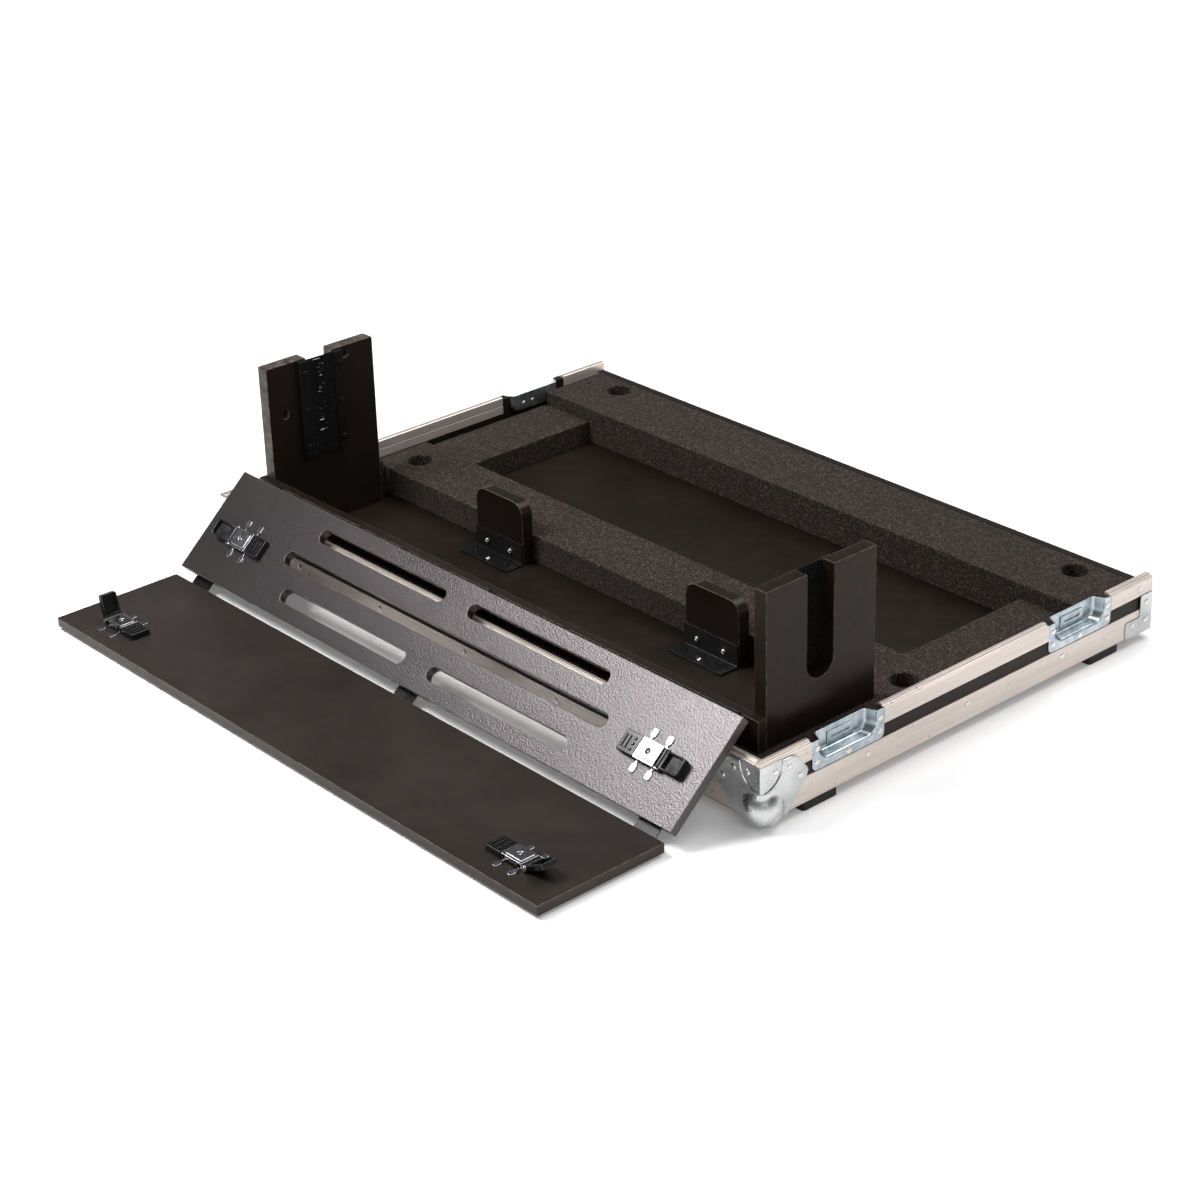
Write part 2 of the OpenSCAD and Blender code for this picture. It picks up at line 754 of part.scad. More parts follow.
module stop_bracket() {
    color(black_steel) translate([stop_x - stop_w / 2, stop_y, floor_z]) {
        cube([stop_w, stop_leaf_t, stop_leaf]);
        translate([0, stop_leaf_t - stop_leaf, 0]) cube([stop_w, stop_leaf - stop_leaf_t, stop_leaf_t]);
    }
}
module tray_screws() {
    holder_y = (u_slot_w + holder_w) / 2;
    color(steel) both_sides() {
        for (x = [-stop_w / 4, stop_w / 4])
            translate([stop_x + x, stop_y, floor_z + stop_leaf / 2]) rotate([90, 0, 0])
                rivet(stop_screw_d, stop_screw_h);
        for (x = [-stop_w / 3, 0, stop_w / 3])
            translate([stop_x + x, stop_y - stop_leaf / 2 - (x == 0 ? rivet_d / 2 : 0),
                floor_z + stop_leaf_t])
                rivet(stop_screw_d, rivet_h);
        for (s = [-1, 1], z = [0.12, 0.5, 0.88])
            translate([end_x - holder_t, u_slot_y + s * holder_y, brush_z + z * brush_l])
                rotate([0, -90, 0])
                rivet();
    }
}

// One knuckle of a barrel, bored for its pin, from x0 along X
module knuckle(x0, l, r, pin_r) {
    translate([x0, 0, 0]) rotate([0, 90, 0]) difference() {
        cylinder(h = l, r = r);
        translate([0, 0, -over]) cylinder(h = l + 2 * over, r = pin_r + pin_fit);
    }
}
// Upper hinge: a leaf below the axis with two knuckles, or above it with one
module upper_leaf(below) {
    h = hinge_leaf;
    xs = below ? [-hinge_w / 2, hinge_w / 2 - knuckle_l + barrel_gap] : [-knuckle_l / 2 + barrel_gap / 2];
    reach = upper_barrel_r + upper_leaf_t - (below ? 0 : seat_gap);
    flip = below ? 1 : 0;
    color(black_steel) difference() {
        union() {
            for (x = xs) {
                knuckle(x, knuckle_l - barrel_gap, upper_barrel_r, upper_pin_r);
                mirror([0, 0, flip]) translate([x, 0, upper_pin_r + pin_fit])
                    cube([knuckle_l - barrel_gap, reach, leaf_web]);
            }
            mirror([0, 0, flip]) translate([-hinge_w / 2, upper_barrel_r, upper_pin_r + pin_fit])
                cube([hinge_w, reach - upper_barrel_r, h]);
        }
        rotate([0, 90, 0]) cylinder(h = hinge_w + 2 * over, r = upper_pin_r + pin_fit, center = true);
    }
}
module at_hinges(axis) {
    for (k = [-1, 0, 1]) translate(axis + [k * hinge_x, 0, 0]) children();
}
module hinge_pin(r) {
    rotate([0, 90, 0]) cylinder(h = hinge_w, r = r, center = true);
}
// Lower hinge: the slotted panel's leaf runs up past the panel's edge to two knuckles
module lower_panel_leaf() {
    down = lower_axis.z - panel_z - panel_h;
    color(black_steel) difference() {
        union() {
            for (x = [-hinge_w / 2, hinge_w / 2 - knuckle_l + barrel_gap]) {
                knuckle(x, knuckle_l - barrel_gap, lower_barrel_r, lower_pin_r);
                translate([x, lower_barrel_r - lower_leaf_t, -lower_barrel_r - over])
                    cube([knuckle_l - barrel_gap, lower_leaf_t, lower_barrel_r + over]);
            }
            translate([-hinge_w / 2, lower_barrel_r - lower_leaf_t, -down - hinge_leaf])
                cube([hinge_w, lower_leaf_t, hinge_leaf + down - lower_barrel_r - barrel_gap]);
        }
        rotate([0, 90, 0]) cylinder(h = hinge_w + 2 * over, r = lower_pin_r + pin_fit, center = true);
    }
}
// The lid's leaf lies on the lid's outer face, which is just below the axis
module lower_lid_leaf() {
    x = -knuckle_l / 2 + barrel_gap / 2;
    top = lower_axis.z - lid_z - flap_t;
    edge = lid_front - lower_axis.y;
    color(black_steel) difference() {
        union() {
            knuckle(x, knuckle_l - barrel_gap, lower_barrel_r, lower_pin_r);
            translate([x, 0, -top]) cube([knuckle_l - barrel_gap, edge, lower_leaf_t]);
            translate([-hinge_w / 2, lower_barrel_r + barrel_gap, -top])
                cube([hinge_w, edge + hinge_leaf - lower_barrel_r, lower_leaf_t]);
        }
        rotate([0, 90, 0]) cylinder(h = hinge_w + 2 * over, r = lower_pin_r + pin_fit, center = true);
    }
}

// A slot of the panel, lying along x from x0
module slot_outline(x0, l) {
    for (x = [x0 + slot_w / 2, x0 + l - slot_w / 2]) translate([x, 0]) circle(slot_w / 2);
    translate([x0 + slot_w / 2, -slot_w / 2]) square([l - slot_w, slot_w]);
}
module slotted_panel() {
    color(laminate) flap_out() translate([0, panel_in, panel_z]) rotate([90, 0, 0]) linear_extrude(flap_t)
        difference() {
            translate([-flap_w / 2, 0]) square([flap_w, panel_h]);
            translate([0, panel_h / 2]) {
                slot_outline(-long_slot_l / 2, long_slot_l);
                for (s = [-1, 1]) translate([0, s * slot_pitch]) {
                    slot_outline(short_slot_in, short_slot_l);
                    slot_outline(-short_slot_in - short_slot_l, short_slot_l);
                }
            }
        }
}
module lid_panel() {
    color(laminate) lid_out() translate([-flap_w / 2, lid_front, lid_z]) cube([flap_w, lid_d, flap_t]);
}

// Latch parts
module latch_base() {
    color(moulding) {
        translate([-saddle_l / 2 - latch_base_l, -latch_w / 2, 0]) cube([latch_base_l, latch_w, base_h]);
        translate([-saddle_l / 2, -under_w / 2, 0]) cube([saddle_l, under_w, under_h]);
    }
}
module saddle() {
    color(zinc) {
        translate([-saddle_l / 2, -latch_w / 2, saddle_h - saddle_t]) cube([saddle_l, latch_w, saddle_t]);
        for (s = [0, 1]) mirror([0, s, 0]) {
            for (x = [-tab_x, tab_x]) {
                translate([x - tab_w / 2, latch_w / 2 - saddle_t, 0]) cube([tab_w, saddle_t, saddle_h]);
                translate([x - tab_w / 2, latch_w / 2 - saddle_t, 0]) cube([tab_w, tab_l, saddle_t]);
            }
            difference() {
                translate([tab_x, latch_w / 2 - saddle_t, saddle_h - ear_h])
                    cube([pin_x + ear_l / 2 - tab_x, saddle_t, ear_h]);
                translate([pin_x, latch_w / 2 + over, pin_z]) rotate([90, 0, 0])
                    cylinder(h = saddle_t + 2 * over, r = lever_pin_r + pin_fit);
            }
        }
        translate([0, 0, saddle_h]) rivet();
    }
}
module lever_pin() {
    color(steel) translate([pin_x, latch_w / 2, pin_z]) rotate([90, 0, 0])
        cylinder(h = latch_w, r = lever_pin_r);
}
// Rivet heads on the board's far side, one behind each tab of the saddle
module latch_rivets(h) {
    color(steel) for (x = [-tab_x, tab_x], s = [-1, 1])
        translate([x, s * (latch_w / 2 - saddle_t + tab_l / 2), -flap_t]) mirror([0, 0, 1])
            rivet(latch_rivet_d, h);
}
module lever(angle) {
    arm_z = lever_lift - pin_z;
    color(moulding) translate([pin_x, 0, pin_z]) rotate([0, -angle, 0]) difference() {
        union() {
            translate([0, lever_w / 2, 0]) rotate([90, 0, 0]) cylinder(h = lever_w, r = lever_barrel_r);
            translate([0, -lever_w / 2, arm_z]) cube([lever_l - lever_w / 4, lever_w, lever_t]);
            translate([0, -lever_w / 4, arm_z]) cube([lever_l, lever_w / 2, lever_t]);
            for (s = [-1, 1]) translate([lever_l - lever_w / 4, s * lever_w / 4, arm_z])
                cylinder(h = lever_t, r = lever_w / 4);
        }
        translate([0, lever_w / 2 + over, 0]) rotate([90, 0, 0])
            cylinder(h = lever_w + 2 * over, r = lever_pin_r + pin_fit);
        translate([lever_barrel_r + lever_wall, -lever_w / 2 + lever_wall, arm_z + lever_wall])
            cube([lever_l - lever_barrel_r - 2 * lever_wall, lever_w - 2 * lever_wall, lever_t]);
    }
}
// Latch places: on the panel's inner face, which faces +Y when shut, and under the lid
module on_panel(right) {
    flap_out() side(right) translate([panel_latch_x, panel_in, panel_z + panel_latch_up])
        rotate([-90, 0, 0]) children();
}
module on_lid(right) {
    lid_out() side(right) translate([lid_latch_x, lid_front + lid_latch_in, lid_z])
        rotate([180, 0, 0]) children();
}
module on_both_panel() {
    for (right = [false, true]) on_panel(right) children();
}
module on_both_lid() {
    for (right = [false, true]) on_lid(right) children();
}

placed() floor_panel();
placed() front_wall();
placed() rear_wall();
placed() side(false) side_wall();  // left_wall
placed() side(true) side_wall();  // right_wall
placed() bottom_rail_cross(half_w - rail_stop, 0, 0);  // bottom_rail_front
placed() bottom_rail_cross(ply_x, case_d - rail_t, case_d - under_flange_w);  // bottom_rail_rear
placed() side(false) bottom_rail_side();  // bottom_rail_left
placed() side(true) bottom_rail_side();  // bottom_rail_right
placed() top_rail_front();
placed() side(false) top_rail_side();  // top_rail_left
placed() side(true) top_rail_side();  // top_rail_right
placed() side(false) ball_corner();  // ball_corner_left
placed() side(true) ball_corner();  // ball_corner_right
placed() upper_corner_plates();
placed() rear_corner_brackets();
placed() side(false) latch_dishes();  // latch_dishes_left
placed() side(true) latch_dishes();  // latch_dishes_right
placed() dish_keepers();
placed() rail_rivets();
placed() dish_rivets();
placed() corner_rivets();
placed() feet();
placed() foam_bar(foam_front_y, foam_front_d, foam_front_h, front_hole_x,  // foam_front_bar
        foam_front_y + foam_front_d / 2);
placed() foam_bar(foam_rear_y, foam_rear_d, foam_rear_h, rear_hole_x, foam_rear_y + rear_hole_in);  // foam_rear_bar
placed() side(false) foam_side_bar();  // foam_left_bar
placed() side(true) foam_side_bar();  // foam_right_bar
placed() foam_linings();
placed() hinge_plank();
placed() side(false) end_board();  // left_end_board
placed() side(true) end_board();  // right_end_board
placed() side(false) brush_holders();  // left_brush_holders
placed() side(true) brush_holders();  // right_brush_holders
placed() side(false) bristles();  // left_bristles
placed() side(true) bristles();  // right_bristles
placed() tray_screws();
placed() side(false) stop_board();  // left_stop_board
placed() side(true) stop_board();  // right_stop_board
placed() side(false) stop_bracket();  // left_stop_bracket
placed() side(true) stop_bracket();  // right_stop_bracket
placed() at_hinges(upper_axis) upper_leaf(true);  // plank_hinge_leaves
placed() at_hinges(upper_axis) hinge_pin(upper_pin_r);  // plank_hinge_pins
placed() slotted_panel();
placed() flap_out() at_hinges(upper_axis) upper_leaf(false);  // panel_upper_leaves
placed() flap_out() at_hinges(lower_axis) lower_panel_leaf();  // panel_lower_leaves
placed() flap_out() at_hinges(lower_axis) hinge_pin(lower_pin_r);  // lid_hinge_pins
placed() on_both_panel() latch_base();  // panel_latch_bases
placed() on_both_panel() saddle();  // panel_latch_saddles
placed() on_both_panel() lever_pin();  // panel_latch_pins
placed() on_both_panel() latch_rivets(lid_lift);  // panel_latch_rivets
placed() lid_panel();
placed() lid_out() at_hinges(lower_axis) lower_lid_leaf();  // lid_hinge_leaves
placed() on_both_lid() latch_base();  // lid_latch_bases
placed() on_both_lid() saddle();  // lid_latch_saddles
placed() on_both_lid() lever_pin();  // lid_latch_pins
placed() on_both_lid() latch_rivets(lid_lift);  // lid_latch_rivets
placed() on_panel(false) lever(left_panel_lever_angle);  // left_panel_lever
placed() on_panel(true) lever(right_panel_lever_angle);  // right_panel_lever
placed() on_lid(false) lever(left_lid_lever_angle);  // left_lid_lever
placed() on_lid(true) lever(right_lid_lever_angle);  // right_lid_lever
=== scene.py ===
"""Looks of a mixer flight case's base tray with its cable compartment folded out.

The Blender objects are in metres, +Z up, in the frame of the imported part. Sizes below are in
millimetres, as the part is measured: x = 0 is the case's middle, y = 0 the outer face of its
front wall, and z = 0 the ground. Lamps, the camera and the studio floor are in metres.
Each section makes one piece of the case, or a group of like pieces.
"""
import json

import bpy
import numpy as np
from mathutils import Matrix, Vector
from mathutils.geometry import tessellate_polygon


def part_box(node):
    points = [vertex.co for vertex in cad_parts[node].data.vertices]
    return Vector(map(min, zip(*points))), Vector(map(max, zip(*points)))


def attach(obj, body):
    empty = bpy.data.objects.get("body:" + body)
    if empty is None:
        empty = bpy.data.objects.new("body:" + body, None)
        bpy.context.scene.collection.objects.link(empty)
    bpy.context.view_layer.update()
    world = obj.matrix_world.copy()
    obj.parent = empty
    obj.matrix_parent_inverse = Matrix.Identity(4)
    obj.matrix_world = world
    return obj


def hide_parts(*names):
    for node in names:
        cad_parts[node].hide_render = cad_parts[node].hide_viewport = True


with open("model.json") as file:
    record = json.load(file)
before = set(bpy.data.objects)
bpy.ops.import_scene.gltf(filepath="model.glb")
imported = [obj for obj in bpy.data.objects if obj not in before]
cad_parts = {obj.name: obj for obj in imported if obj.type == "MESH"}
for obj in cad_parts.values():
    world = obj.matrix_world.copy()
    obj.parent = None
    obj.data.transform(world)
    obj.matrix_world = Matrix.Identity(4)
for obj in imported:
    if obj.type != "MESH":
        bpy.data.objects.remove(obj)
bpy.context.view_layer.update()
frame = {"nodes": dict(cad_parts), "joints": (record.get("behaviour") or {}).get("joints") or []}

# Camera: above the tray's front right corner, looking down over the folded-out cover
# towards the rear, through a long lens from three and a third metres away.
VIEW_AZIMUTH, VIEW_HEIGHT, VIEW_ROLL = 48.915, 26.398, -1.620
VIEW_DISTANCE = 3.353837
VIEW_TARGET = np.array([0.00032, 0.023317, 0.02897])
SENSOR_W, LENS_L = 36.0, 82.12


def view_axes(azimuth, height, roll):
    """Camera right, up and forward. Forward points down by height and to the rear by azimuth,
    right is level, and both right and up are then turned about forward by roll."""
    a, e, r = np.radians([azimuth, height, roll])
    forward = np.array([-np.sin(a) * np.cos(e), np.cos(a) * np.cos(e), -np.sin(e)])
    right = np.array([np.cos(a), np.sin(a), 0.0])
    down = np.cross(forward, right)
    return np.cos(r) * right - np.sin(r) * down, -(np.sin(r) * right + np.cos(r) * down), forward


def shown(name, data):
    """A new object in the scene."""
    made = bpy.data.objects.new(name, data)
    bpy.context.scene.collection.objects.link(made)
    return made


def aimed(name, data, place, axes):
    """A camera or lamp at place with its own three axes along three directions."""
    turn = Matrix(np.stack(axes, 1).tolist()).to_4x4()
    turn.translation = place
    made = shown(name, data)
    made.matrix_world = turn
    return made


right, up, forward = view_axes(VIEW_AZIMUTH, VIEW_HEIGHT, VIEW_ROLL)
lens = bpy.data.cameras.new("view")
lens.sensor_width, lens.lens = SENSOR_W, LENS_L
bpy.context.scene.camera = aimed("view", lens, VIEW_TARGET - VIEW_DISTANCE * forward, [right, up, -forward])
bpy.context.scene.view_settings.view_transform = "Standard"


# Studio: a wide white floor, walls that are white low down and dark higher up, and three soft
# boxes: a key at the front left, a weak one at the right and a wide one above the rear.
FLOOR_REACH, FLOOR_SHADE = 4.0, 0.81
GLOW_FROM, GLOW = (0.8, 2.6), (0.12, 1.0)
WALLS = (0.04, 0.95), (0.34, (0.09, 0.09, 0.093))
MIDDLE = (0, 0, 0)


def node(tree, kind, **settings):
    """A new shader node with some of its settings."""
    made = tree.nodes.new(f"ShaderNode{kind}")
    for name, value in settings.items():
        setattr(made, name, value)
    return made


def combined(tree, operation, a, b):
    """The product or the greater of two values."""
    made = node(tree, "Math", operation=operation)
    tree.links.new(a, made.inputs[0])
    tree.links.new(b, made.inputs[1])
    return made.outputs[0]


def mixed(tree, a, b, factor=1.0, blend="MIX"):
    """Two colours mixed. Each of a, b and factor is a link or a value."""
    made = node(tree, "Mix", data_type="RGBA", blend_type=blend)
    for name, value in (("Factor", factor), ("A", a), ("B", b)):
        if isinstance(value, bpy.types.NodeSocket):
            tree.links.new(value, made.inputs[name])
        else:
            made.inputs[name].default_value = value
    return made.outputs["Result"]


def ramp(tree, value, *stops):
    """Colours over a value. Each stop is a place with a colour, or with one number for a grey."""
    band = node(tree, "ValToRGB")
    elements = band.color_ramp.elements
    elements[0].position, elements[1].position = stops[0][0], stops[-1][0]
    for place, _ in stops[1:-1]:
        elements.new(place)
    for element, (_, colour) in zip(elements, stops):
        element.color = (*(colour if isinstance(colour, tuple) else [colour] * 3), 1)
    tree.links.new(value, band.inputs["Fac"])
    return band.outputs["Color"]


def finish(name, colour, roughness, metallic=0.0, specular=0.5):
    """A new material, with what is the same all over its surface."""
    material = bpy.data.materials.new(name)
    material.use_nodes = True
    inputs = material.node_tree.nodes["Principled BSDF"].inputs
    inputs["Base Color"].default_value = (*colour, 1)
    inputs["Roughness"].default_value = roughness
    inputs["Metallic"].default_value = metallic
    inputs["Specular IOR Level"].default_value = specular
    return material, material.node_tree, inputs


def seen_or_mirrored(tree):
    """1 where a camera ray or a mirrored or refracted one arrives, and 0 for light that scatters."""
    path = node(tree, "LightPath")
    value = path.outputs["Is Camera Ray"]
    for other in ("Is Glossy Ray", "Is Transmission Ray"):
        value = combined(tree, "MAXIMUM", value, path.outputs[other])
    return value


def studio_floor():
    """A level sheet, with a glow that rises with the distance from the middle, so that it stays
    white as far as it runs. The glow shows to the camera and in mirrors, and lights nothing."""
    square = np.array([[-1, -1, 0], [1, -1, 0], [1, 1, 0], [-1, 1, 0]]) * FLOOR_REACH
    mesh = bpy.data.meshes.new("studio_floor")
    mesh.from_pydata(square.tolist(), [], [[0, 1, 2, 3]])
    material, tree, inputs = finish("studio_paper", (FLOOR_SHADE,) * 3, 1.0, specular=0.0)
    inputs["Emission Color"].default_value = (1, 1, 1, 1)
    far = node(tree, "VectorMath", operation="LENGTH")
    tree.links.new(node(tree, "TexCoord").outputs["Object"], far.inputs[0])
    glow = node(tree, "MapRange")
    for entry, value in zip(glow.inputs[1:5], (*GLOW_FROM, *GLOW)):
        entry.default_value = value
    tree.links.new(far.outputs["Value"], glow.inputs["Value"])
    lift = combined(tree, "MULTIPLY", seen_or_mirrored(tree), glow.outputs["Result"])
    tree.links.new(lift, inputs["Emission Strength"])
    mesh.materials.append(material)
    shown("studio_floor", mesh)


def soft_box(name, place, aim, size, power):
    """A square area lamp at place, turned towards aim."""
    lamp = bpy.data.lights.new(name, "AREA")
    lamp.shape = "SQUARE"
    lamp.size = size
    lamp.energy = power
    z = np.array(place, float) - np.array(aim, float)
    z /= np.linalg.norm(z)
    x = np.cross([0, 0, 1], z)
    x /= np.linalg.norm(x)
    aimed(name, lamp, place, [x, np.cross(z, x), z])


studio_floor()
soft_box("key", (-0.62, -0.95, 1.6), (0.1, -0.1, 0), size=0.8, power=48)
soft_box("side", (2.4, -0.9, 1.9), MIDDLE, size=1.8, power=22)
soft_box("top", (0.4, 1.4, 2.8), MIDDLE, size=2.2, power=92)
room = bpy.data.worlds.new("room")
room.use_nodes = True
bpy.context.scene.world = room
tree = room.node_tree
parts = node(tree, "SeparateXYZ")
tree.links.new(node(tree, "TexCoord").outputs["Generated"], parts.inputs[0])
seen = node(tree, "LightPath").outputs["Is Camera Ray"]
light = mixed(tree, ramp(tree, parts.outputs["Z"], *WALLS), (1, 1, 1, 1), seen)
tree.links.new(light, tree.nodes["Background"].inputs["Color"])
tree.nodes["Background"].inputs["Strength"].default_value = 1.0


# Boards: nine and twelve millimetre birch plywood faced with black-brown phenolic film.
# The tray's floor and walls stay as the part has them and get the film's finish.
def noise(tree, scale, stretch=(1, 1, 1), detail=3.0, roughness=0.55):
    """Noise on the piece's own coordinates, in cells per metre, drawn out where stretch is low."""
    place = node(tree, "TexCoord")
    mapping = node(tree, "Mapping")
    mapping.inputs["Scale"].default_value = stretch
    texture = node(tree, "TexNoise")
    texture.inputs["Scale"].default_value = scale
    texture.inputs["Detail"].default_value = detail
    texture.inputs["Roughness"].default_value = roughness
    tree.links.new(place.outputs["Object"], mapping.inputs["Vector"])
    tree.links.new(mapping.outputs["Vector"], texture.inputs["Vector"])
    return texture.outputs["Fac"]


def vary(tree, entry, value, *stops):
    """Runs one of the shader's entries over a value."""
    tree.links.new(ramp(tree, value, *stops), tree.nodes["Principled BSDF"].inputs[entry])


def bump(tree, height, depth, strength=1.0):
    """Raises the surface by up to depth, in metres."""
    made = node(tree, "Bump")
    made.inputs["Distance"].default_value = depth
    made.inputs["Strength"].default_value = strength
    tree.links.new(height, made.inputs["Height"])
    tree.links.new(made.outputs["Normal"], tree.nodes["Principled BSDF"].inputs["Normal"])


WARM_TINT = (1.0, 0.84, 0.74, 1)


def film(name, dark, light, roughness, grain=900, depth=0.00008, specular=0.25, wander=0.055,
         tint=WARM_TINT):
    """Phenolic film: a faint cloud of colour, a gloss that wanders and a fine pressed grain."""
    material, tree, inputs = finish(name, dark, roughness, specular=specular)
    inputs["Specular Tint"].default_value = tint
    vary(tree, "Base Color", noise(tree, 7, detail=6), (0.3, dark), (0.7, light))
    drift = noise(tree, 40, detail=4)
    vary(tree, "Roughness", drift, (0.3, roughness - wander), (0.7, roughness + wander))
    bump(tree, noise(tree, grain, detail=2), depth)
    return material


def dress(nodes, material):
    """Gives CAD nodes their finish."""
    for name in nodes:
        materials = frame["nodes"][name].data.materials
        materials.clear()
        materials.append(material)


BOARD_DARK, BOARD_LIGHT = (0.0064, 0.0043, 0.0034), (0.0108, 0.0074, 0.0058)
board_film = film("board_film", BOARD_DARK, BOARD_LIGHT, 0.42, specular=0.2)
dress(["floor_panel", "front_wall", "rear_wall", "left_wall", "right_wall"], board_film)


# Edge rails: drawn aluminium, an L round the bottom edge and a cap with a tongue round the
# top edge of three walls. They are riveted through the boards.
MM = 0.001
FRONT_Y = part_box("bottom_rail_front")[0].y / MM
HALF_W, CASE_D = 495.0, 656.0
FOOT_H, LEDGE_Z, FLOOR_Z = 12.0, 81.5, 22.5
RAIL_T, RAIL_IN, RAIL_UP, RAIL_UNDER = 1.5, 11.5, 32.0, 28.0
CLEAR_X = HALF_W - RAIL_IN
SIDES = ((-1, "left"), (1, "right"))
X, Y, Z = (1, 0, 0), (0, 1, 0), (0, 0, 1)
LYING, UPRIGHT, SIDEWAYS = (X, Y), (X, Z), (Y, Z)


def arc(centre, radius, start, end, steps):
    """Points of a circle's arc from start to end, in degrees."""
    a = np.radians(np.linspace(start, end, steps + 1))
    return np.stack([centre[0] + radius * np.cos(a), centre[1] + radius * np.sin(a)], 1)


def ring(centre, radius, sides):
    """A whole circle of points."""
    return arc(centre, radius, 0, 360, sides)[:-1]


def softened(corners, radius, steps=3):
    """A closed outline with each corner rounded: a corner's arc is the quadratic curve between
    the points that lie radius before and after it, or just under half its side away."""
    corners = np.array(corners, float)
    radius = np.broadcast_to(radius, len(corners))
    t = np.linspace(0, 1, steps + 1)[:, None]
    points = []
    for k, c in enumerate(corners):
        before, after = corners[k - 1] - c, corners[(k + 1) % len(corners)] - c
        reach = [min(radius[k], 0.49 * np.linalg.norm(v)) for v in (before, after)]
        a = c + before / np.linalg.norm(before) * reach[0]
        b = c + after / np.linalg.norm(after) * reach[1]
        curve = (1 - t) ** 2 * a + 2 * t * (1 - t) * c + t ** 2 * b
        points.append(curve if reach[0] > 1e-6 else c[None])
    return np.concatenate(points)


def rectangle(x0, x1, y0, y1, radius, steps=3):
    """A rectangle with rounded corners."""
    return softened([(x0, y0), (x1, y0), (x1, y1), (x0, y1)], radius, steps)


def grid_faces(rows, columns, closed):
    """Quads of a grid whose columns may close on themselves."""
    j = np.arange(columns if closed else columns - 1)
    i = np.arange(rows - 1)[:, None] * columns
    k = (j + 1) % columns
    return np.stack([i + j, i + k, i + columns + k, i + columns + j], -1).reshape(-1, 4)


def plate(outlines, depth, edge, steps=2, side=0.0):
    """A slab between z = 0 and z = depth. Each outline, the outer one first, carries a profile
    that runs in from the flat face by edge * (1 - sin t) and up by edge * (1 - cos t), then
    down again at the other face. The two flat faces are filled in between the outlines. Wear is
    sin 2t: 1 in the middle of a rounded edge and 0 on the flats, and side on the walls."""
    t = np.linspace(0, np.pi / 2, steps + 1)
    low, high = np.broadcast_to(np.maximum(edge, 0.01), 2)
    inset = np.concatenate([low * (1 - np.sin(t)), high * (1 - np.sin(t[::-1]))])
    height = np.concatenate([low * (1 - np.cos(t)), depth - high * (1 - np.cos(t[::-1]))])
    rub = np.concatenate([np.sin(2 * t), np.sin(2 * t)])
    rub[[steps, steps + 1]] = side
    points, faces, wear, bottoms, tops, start = [], [], [], [], [], 0
    for k, outline in enumerate(outlines):
        x, y = np.array(outline, float).T
        area = np.sum(x * np.roll(y, -1) - np.roll(x, -1) * y)
        loop = np.stack([x, y], 1)[::1 if (area > 0) == (k == 0) else -1]
        loop = loop[np.linalg.norm(np.roll(loop, -1, 0) - loop, axis=1) > 1e-6]
        along = np.roll(loop, -1, 0) - loop
        along /= np.linalg.norm(along, axis=1)[:, None]
        out = np.stack([along[:, 1], -along[:, 0]], 1)
        before = np.roll(out, 1, 0)
        mitre = (out + before) / np.maximum(1 + np.sum(out * before, 1), 0.3)[:, None]
        rings = loop[None] - inset[:, None, None] * mitre[None]
        z = np.broadcast_to(height[:, None, None], rings.shape[:2] + (1,))
        points.append(np.concatenate([rings, z], -1).reshape(-1, 3))
        wear.append(np.repeat(rub, len(loop)))
        n = len(loop)
        faces += (grid_faces(len(height), n, True) + start).tolist()
        bottoms.append(np.arange(n) + start)
        tops.append(np.arange(n) + start + n * (len(height) - 1))
        start += n * len(height)
    points = np.concatenate(points)
    for loops, sign in ((bottoms, -1), (tops, 1)):
        index = np.concatenate(loops)
        if len(loops) == 1:
            faces.append(index[::sign].tolist())
            continue
        triangles = tessellate_polygon([list(map(Vector, points[k])) for k in loops])
        for a, b, c in index[np.array(triangles)].tolist():
            u, v = points[b] - points[a], points[c] - points[a]
            faces.append([a, c, b] if (u[0] * v[1] - u[1] * v[0]) * sign < 0 else [a, b, c])
    return points, faces, np.concatenate(wear)


def lathe(profile, sides):
    """A profile of radius and height carried round z, with a pole at either end."""
    radius, height = np.array(profile, float).T
    a = np.linspace(0, 2 * np.pi, sides, endpoint=False)
    rings = np.stack([radius[1:-1, None] * np.cos(a), radius[1:-1, None] * np.sin(a),
                      np.broadcast_to(height[1:-1, None], (len(radius) - 2, sides))], -1).reshape(-1, 3)
    points = np.concatenate([[[0, 0, height[0]]], rings, [[0, 0, height[-1]]]])
    j = np.arange(sides)
    k, last = (j + 1) % sides, len(rings) - sides + 1
    fans = [np.stack([j * 0, 1 + k, 1 + j], 1), np.stack([j * 0 + len(rings) + 1, last + j, last + k], 1)]
    faces = (grid_faces(len(radius) - 2, sides, True) + 1).tolist() + np.concatenate(fans).tolist()
    return points, faces, np.zeros(len(points))


def placed(shape, origin, x_axis, y_axis):
    """A shape moved to origin with its x and y along two unit axes and its z along their cross."""
    turn = np.stack([x_axis, y_axis, np.cross(x_axis, y_axis)], 0).astype(float)
    return (shape[0] @ turn + np.array(origin, float), *shape[1:])


def slab(outlines, depth, edge, origin=MIDDLE, axes=LYING, steps=2):
    """A plate set down at origin with its outlines along two axes."""
    return placed(plate(outlines, depth, edge, steps), origin, *axes)


